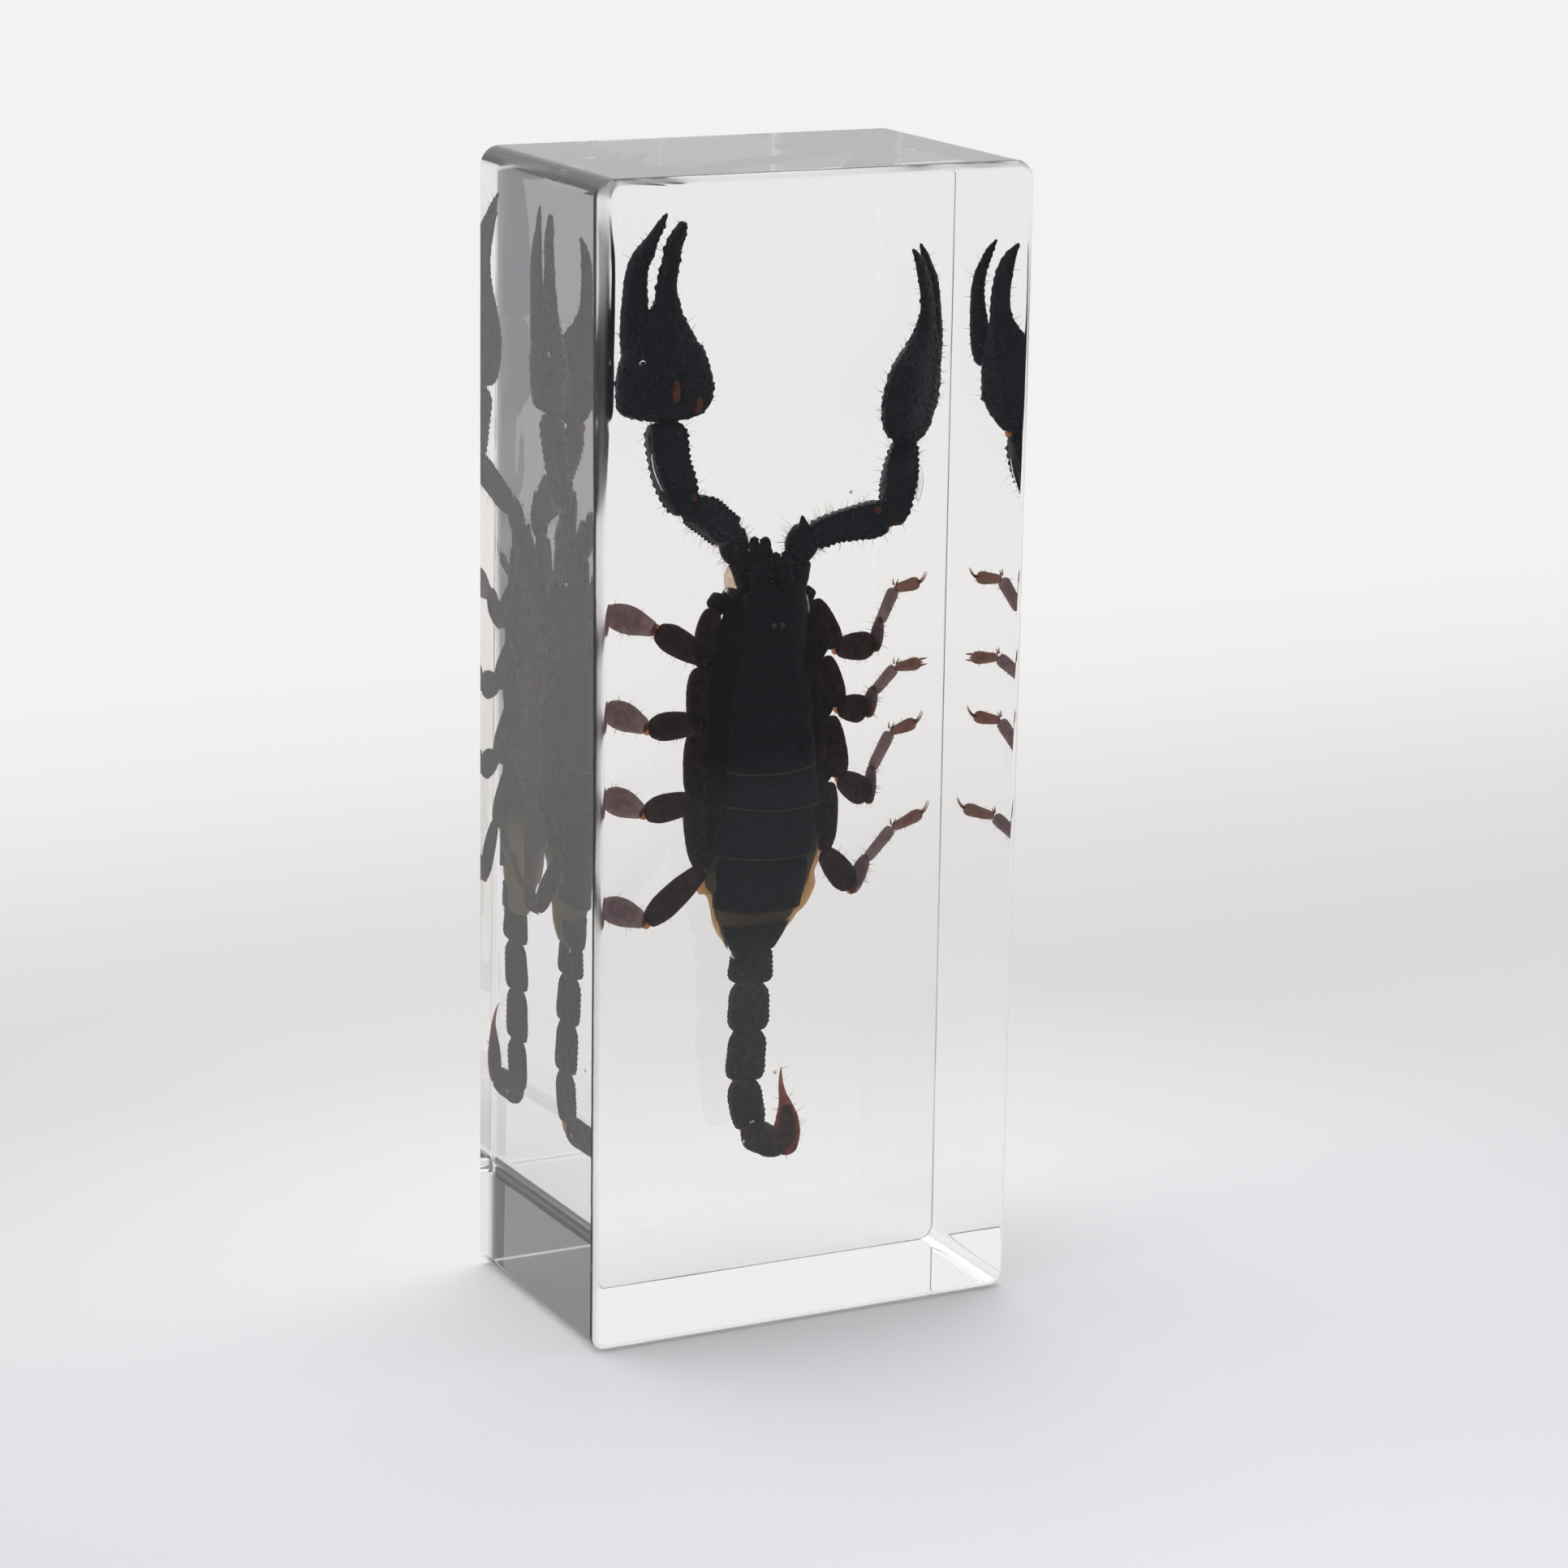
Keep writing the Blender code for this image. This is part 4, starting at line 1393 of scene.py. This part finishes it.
def leg_claws(spur_joint, tip, spread, bend):
    """Two claws side by side at the tip of a toe, and a short one between and below them."""
    ahead = unit(tip - spur_joint)
    pair = [hook(tip - ahead * 0.15 + np.array(spread) * APART * k, ahead, bend, CLAW_REACH, CLAW_THICK)
            for k in (-1, 1)]
    return [*pair, hook(tip - ahead * 0.1, ahead, (0, 0, -0.3), SHORT_CLAW_REACH, SHORT_CLAW_THICK)]


def leg_spurs(spur_joint, side):
    """Two spurs at the joint of foot and toe, one on each side of it."""
    ways = np.array([(-side * 0.2, 0.3, 1.0), (side * 0.35, -0.3, 1.0)])
    return [hook(spur_joint + way * APART, unit(way), (0.1, 0, 0.2), SPUR_REACH, SPUR_THICK) for way in ways]


def bend_skin(joint, reach):
    """A short flat sleeve that goes the same way to both sides of a joint."""
    rows = [(*(joint - reach), 0.62, 0.55), (*(joint + reach), 0.62, 0.55)]
    return limb(rows, ALONG_BODY, ends=(0.25, 0.25), around=20, along=12)


print("faces of a spur:", len(leg_spurs(np.zeros(3), 1)[0][1]))

# %% All eight legs
LEG_FINISHES = {
    "hip": BELLY, "thigh": THIGH, "knee": THIGH, "shin": LEG, "foot": LEG, "toe": FOOT, "skin": SKIN,
}
LEG_HAIRS = {   # how many, how long and how thick
    "knee": (26, 0.7, 0.035), "shin": (34, 0.8, 0.035), "foot": (26, 0.6, 0.03), "toe": (40, 0.4, 0.03),
}
PLAIN_CLAWS = ((0, 1, 0), (0, 0, 0.75))   # the way they stand apart, and the way they bend
SPREAD_CLAWS = ((0, 0, 1), (0, -0.1, 0.05))   # of the second pair of legs

for name, joints in LEGS.items():
    word, number = name.split("_")
    side = SIDES[word]
    root = np.array(LEG_ROOTS[int(number)])
    if side > 0:
        root[0] = 2 * MID_BODY - root[0]
    coxa_end, ring_end, thigh_end, knee, shin_end, spur_joint, tip = (np.array(j) for j in joints)
    seed = float(len(made))
    toe = segment("toe", spur_joint, tip, ALONG_BODY, seed + 6, (0, 0, -0.05))
    claws = leg_claws(spur_joint, tip, *(SPREAD_CLAWS if number == "2" else PLAIN_CLAWS))
    parts = {
        "hip": [segment("coxa", root, coxa_end, ALONG_BODY, seed),
                segment("ring", coxa_end - (side * 0.2, 0, 0), ring_end, ALONG_BODY, seed + 1)],
        "thigh": [segment("thigh", ring_end, thigh_end, (side, 0, 0.3), seed + 2, (side * 0.18, 0, 0))],
        "knee": [segment("knee", thigh_end, knee, ALONG_BODY, seed + 3, (0, -0.2, 0.1))],
        "shin": [segment(f"shin_{word}", knee, shin_end, ALONG_BODY, seed + 4,
                         (0, 0, 0.1 if side < 0 else 0))],
        "foot": [segment("foot", shin_end, spur_joint, ACROSS, seed + 5)],
        "toe": [toe, *claws, *leg_spurs(spur_joint, side)],
        "skin": [bend_skin(thigh_end, np.array([side * 0.25, 0.1, 0])),
                 bend_skin(knee, np.array([side * 0.2, 0.3, 0.05]))],
    }
    for part, surfaces in parts.items():
        make(f"leg_{name}_{part}", surfaces, LEG_FINISHES[part])
    hairs = [bristles(parts[part][0], count, length, 100 * k + len(made), radius=radius)
             for k, (part, (count, length, radius)) in enumerate(LEG_HAIRS.items(), start=2)]
    make(f"leg_{name}_hairs", hairs, HAIR)
print("leg pieces:", sum(name.startswith("leg") for name in made), "faces so far:", sum(made.values()))

# %% [markdown]
# ## Bubbles and films of air
#
# When resin is poured over a dry animal, air stays behind: round bubbles, and thin
# films that have come loose along hard edges. Seen from inside the resin, air bends
# light the other way, so its index is 1 divided by the resin's, and a bubble shines
# like silver. That is one number in the shader, and needs no trick. A bubble is a limb
# whose ends are as long as its radius, and a film is a limb that is nearly flat.

# %% Bubbles
air, tree, shader = new_material("air_in_resin")
set_sockets(shader, {
    "Base Color": WHITE, "Roughness": 0.03, "IOR": round(1 / RESIN_IOR, 3), "Transmission Weight": 1.0,
})
tree.links.new(bump(tree, noise(tree, 2500.0), 0.00004, 0.4), shader.inputs["Normal"])

BUBBLES = [   # x, y, z, radius
    (-12.9, 4.3, 91.5, 0.42), (-0.15, 5.4, 15.7, 0.35), (-0.9, 5.9, 14.6, 0.28), (0.7, 5.2, 13.6, 0.25),
    (-0.45, 5.3, 16.6, 0.22), (-3.4, 6.5, 69.2, 0.25), (9.4, 6.3, 77.8, 0.18), (1.9, 5.0, 21.4, 0.2),
]
balls = [limb([(x, y, z - r, r, r), (x, y, z + r, r * 1.05, r)], ACROSS, ends=(r, r), around=18, along=14)
         for x, y, z, r in BUBBLES]
make("bubbles", balls, air)
print("bubbles:", len(balls))

# %% Films
FILMS = {
    "left_arm": [
        (-11.1, 2.6, 79.7, 0.2, 0.05), (-11.75, 3.1, 81.6, 0.28, 0.06), (-12.0, 3.6, 83.2, 0.2, 0.05),
    ],
    "right_arm": [
        (16.5, 6.0, 76.4, 0.2, 0.05), (16.95, 6.6, 78.2, 0.3, 0.06), (17.1, 7.4, 79.7, 0.18, 0.05),
    ],
    "carapace": [(5.0, 6.6, 65.6, 0.12, 0.04), (5.05, 6.4, 67.0, 0.2, 0.05), (4.85, 6.3, 68.2, 0.1, 0.04)],
    "waist": [(-2.9, 6.2, 34.6, 0.15, 0.05), (-2.65, 5.9, 33.9, 0.3, 0.06), (-2.3, 5.7, 33.2, 0.15, 0.05)],
}
FILM_BROAD = (1, -0.4, 0)   # a film's broad side is turned a little to the right

for name, rows in FILMS.items():
    film = limb(rows, FILM_BROAD, ends=(0.3, 0.3), around=16, along=30, grain=(0.5, 0.04, 7.0))
    make(f"film_{name}", [film], air)
print("films:", len(FILMS))

# %% [markdown]
# ## The table
#
# Clear resin has no look of its own: it shows what surrounds it, bent and mirrored.
# So the surroundings are kept plain, but their brightness is placed with care. Shade is painted into the
# table's colour along Y. The table is pale near the block and lies in painted shade from about 110 mm in
# front of it, and the block mirrors that change in its front face. Round the foot and behind it the table is
# darker again, darkest some 75 mm behind: a painted shadow of the block. A real block also throws light
# through itself onto the table, which the renderer leaves out, so the table is made paler round the foot: a
# gradient that fades with the distance multiplies its tone.

# %% Table
# Shade is painted into these tones: the dark stretch in front is painted shade, and the dip round 75 mm
# behind the block is its painted shadow.
TABLE_TONES_AND_SHADE = [   # y, and how pale the table is there
    (-215.0, (0.19, 0.195, 0.215)), (-195.0, (0.34, 0.36, 0.39)), (-140.0, (0.42, 0.44, 0.47)),
    (-112.0, (0.83, 0.84, 0.88)), (-60.0, (0.74, 0.745, 0.775)), (20.0, (0.72, 0.72, 0.735)),
    (75.0, (0.675, 0.67, 0.655)), (130.0, (0.73, 0.725, 0.71)), (200.0, (0.84, 0.83, 0.815)),
    (260.0, (0.88, 0.87, 0.855)), (360.0, (0.885, 0.875, 0.865)), (450.0, (0.87, 0.865, 0.86)),
]
GLOW_REACH, GLOW_GAIN = 110.0, 1.22   # how far from the middle the light goes, and its full gain
GLOW_FULL = 0.75   # the gain is full within the inner quarter of that reach

table, tree, shader = new_material("table")
start, stop = TABLE_TONES_AND_SHADE[0][0], TABLE_TONES_AND_SHADE[-1][0]
stops = [((y - start) / (stop - start), colour) for y, colour in TABLE_TONES_AND_SHADE]
tone = ramp_along(tree, "Y", start * MM, stop * MM, stops)
place = tree.nodes.new("ShaderNodeTexCoord")
near = tree.nodes.new("ShaderNodeMapping")
near.inputs["Scale"].default_value = (1 / (GLOW_REACH * MM),) * 3
tree.links.new(place.outputs["Object"], near.inputs["Vector"])
fade = tree.nodes.new("ShaderNodeTexGradient")
fade.gradient_type = "SPHERICAL"
tree.links.new(near.outputs["Vector"], fade.inputs["Vector"])
glow = ramp(tree, fade.outputs["Fac"], [(0.0, (1.0,) * 3), (GLOW_FULL, (GLOW_GAIN,) * 3)])
tree.links.new(product(tree, tone, glow), shader.inputs["Base Color"])
set_sockets(shader, {"Roughness": 0.8, "Specular IOR Level": 0.2})
print("tones along the table:", len(stops))

# %% Floor
FLOOR_HALF, FLOOR_DROP = 4000.0, 0.1   # half its side, and how far it lies below the foot

corner = np.array([(-1, -1), (1, -1), (1, 1), (-1, 1)]) * FLOOR_HALF * MM
mesh = bpy.data.meshes.new("floor")
mesh.from_pydata(np.column_stack([corner, np.full(4, -FLOOR_DROP * MM)]).tolist(), [], [(0, 1, 2, 3)])
mesh.materials.append(table)
floor = bpy.data.objects.new("floor", mesh)
bpy.context.scene.collection.objects.link(floor)
print("floor, m across:", 2 * FLOOR_HALF * MM)

# %% [markdown]
# ## The sky
#
# There are no lamps: the sky alone gives the soft studio light. It is the product of
# two ramps of the direction. Along Y it is dim behind the camera, so that the faces
# turned to the camera mirror little, and bright behind the block. Along Z it grows
# brighter overhead, which lights the table and the top face.

# %% Sky
SKY_LOW, SKY_HIGH, SKY_SHARE = 0.92, 2.0, 0.08   # brightness; the share left behind the camera
BEHIND_CAMERA = (SKY_SHARE, SKY_SHARE * 1.05, SKY_SHARE * 1.2)
DIM_TO, BRIGHT_FROM = -0.55, 0.10   # y of the direction
LOW_TO, HIGH_FROM = 0.45, 0.90      # z of the direction

world = bpy.data.worlds.new("soft_studio")
bpy.context.scene.world = world
world.use_nodes = True
tree = world.node_tree
depth_stops = [(0.0, BEHIND_CAMERA), (1.0, WHITE[:3])]
height_stops = [(0.0, (SKY_LOW,) * 3), (1.0, (SKY_HIGH,) * 3)]
depth = ramp_along(tree, "Y", DIM_TO, BRIGHT_FROM, depth_stops, "Generated")
height = ramp_along(tree, "Z", LOW_TO, HIGH_FROM, height_stops, "Generated")
tree.links.new(product(tree, depth, height), tree.nodes["Background"].inputs["Color"])
bpy.context.scene.view_settings.view_transform = "Standard"
print("nodes in the sky:", len(tree.nodes))

# %% [markdown]
# ## Pieces and triangles
#
# The script ends by counting the pieces and their triangles.

# %% Pieces, triangles and the end
print("pieces:", len(made), "triangles:", sum(made.values()))
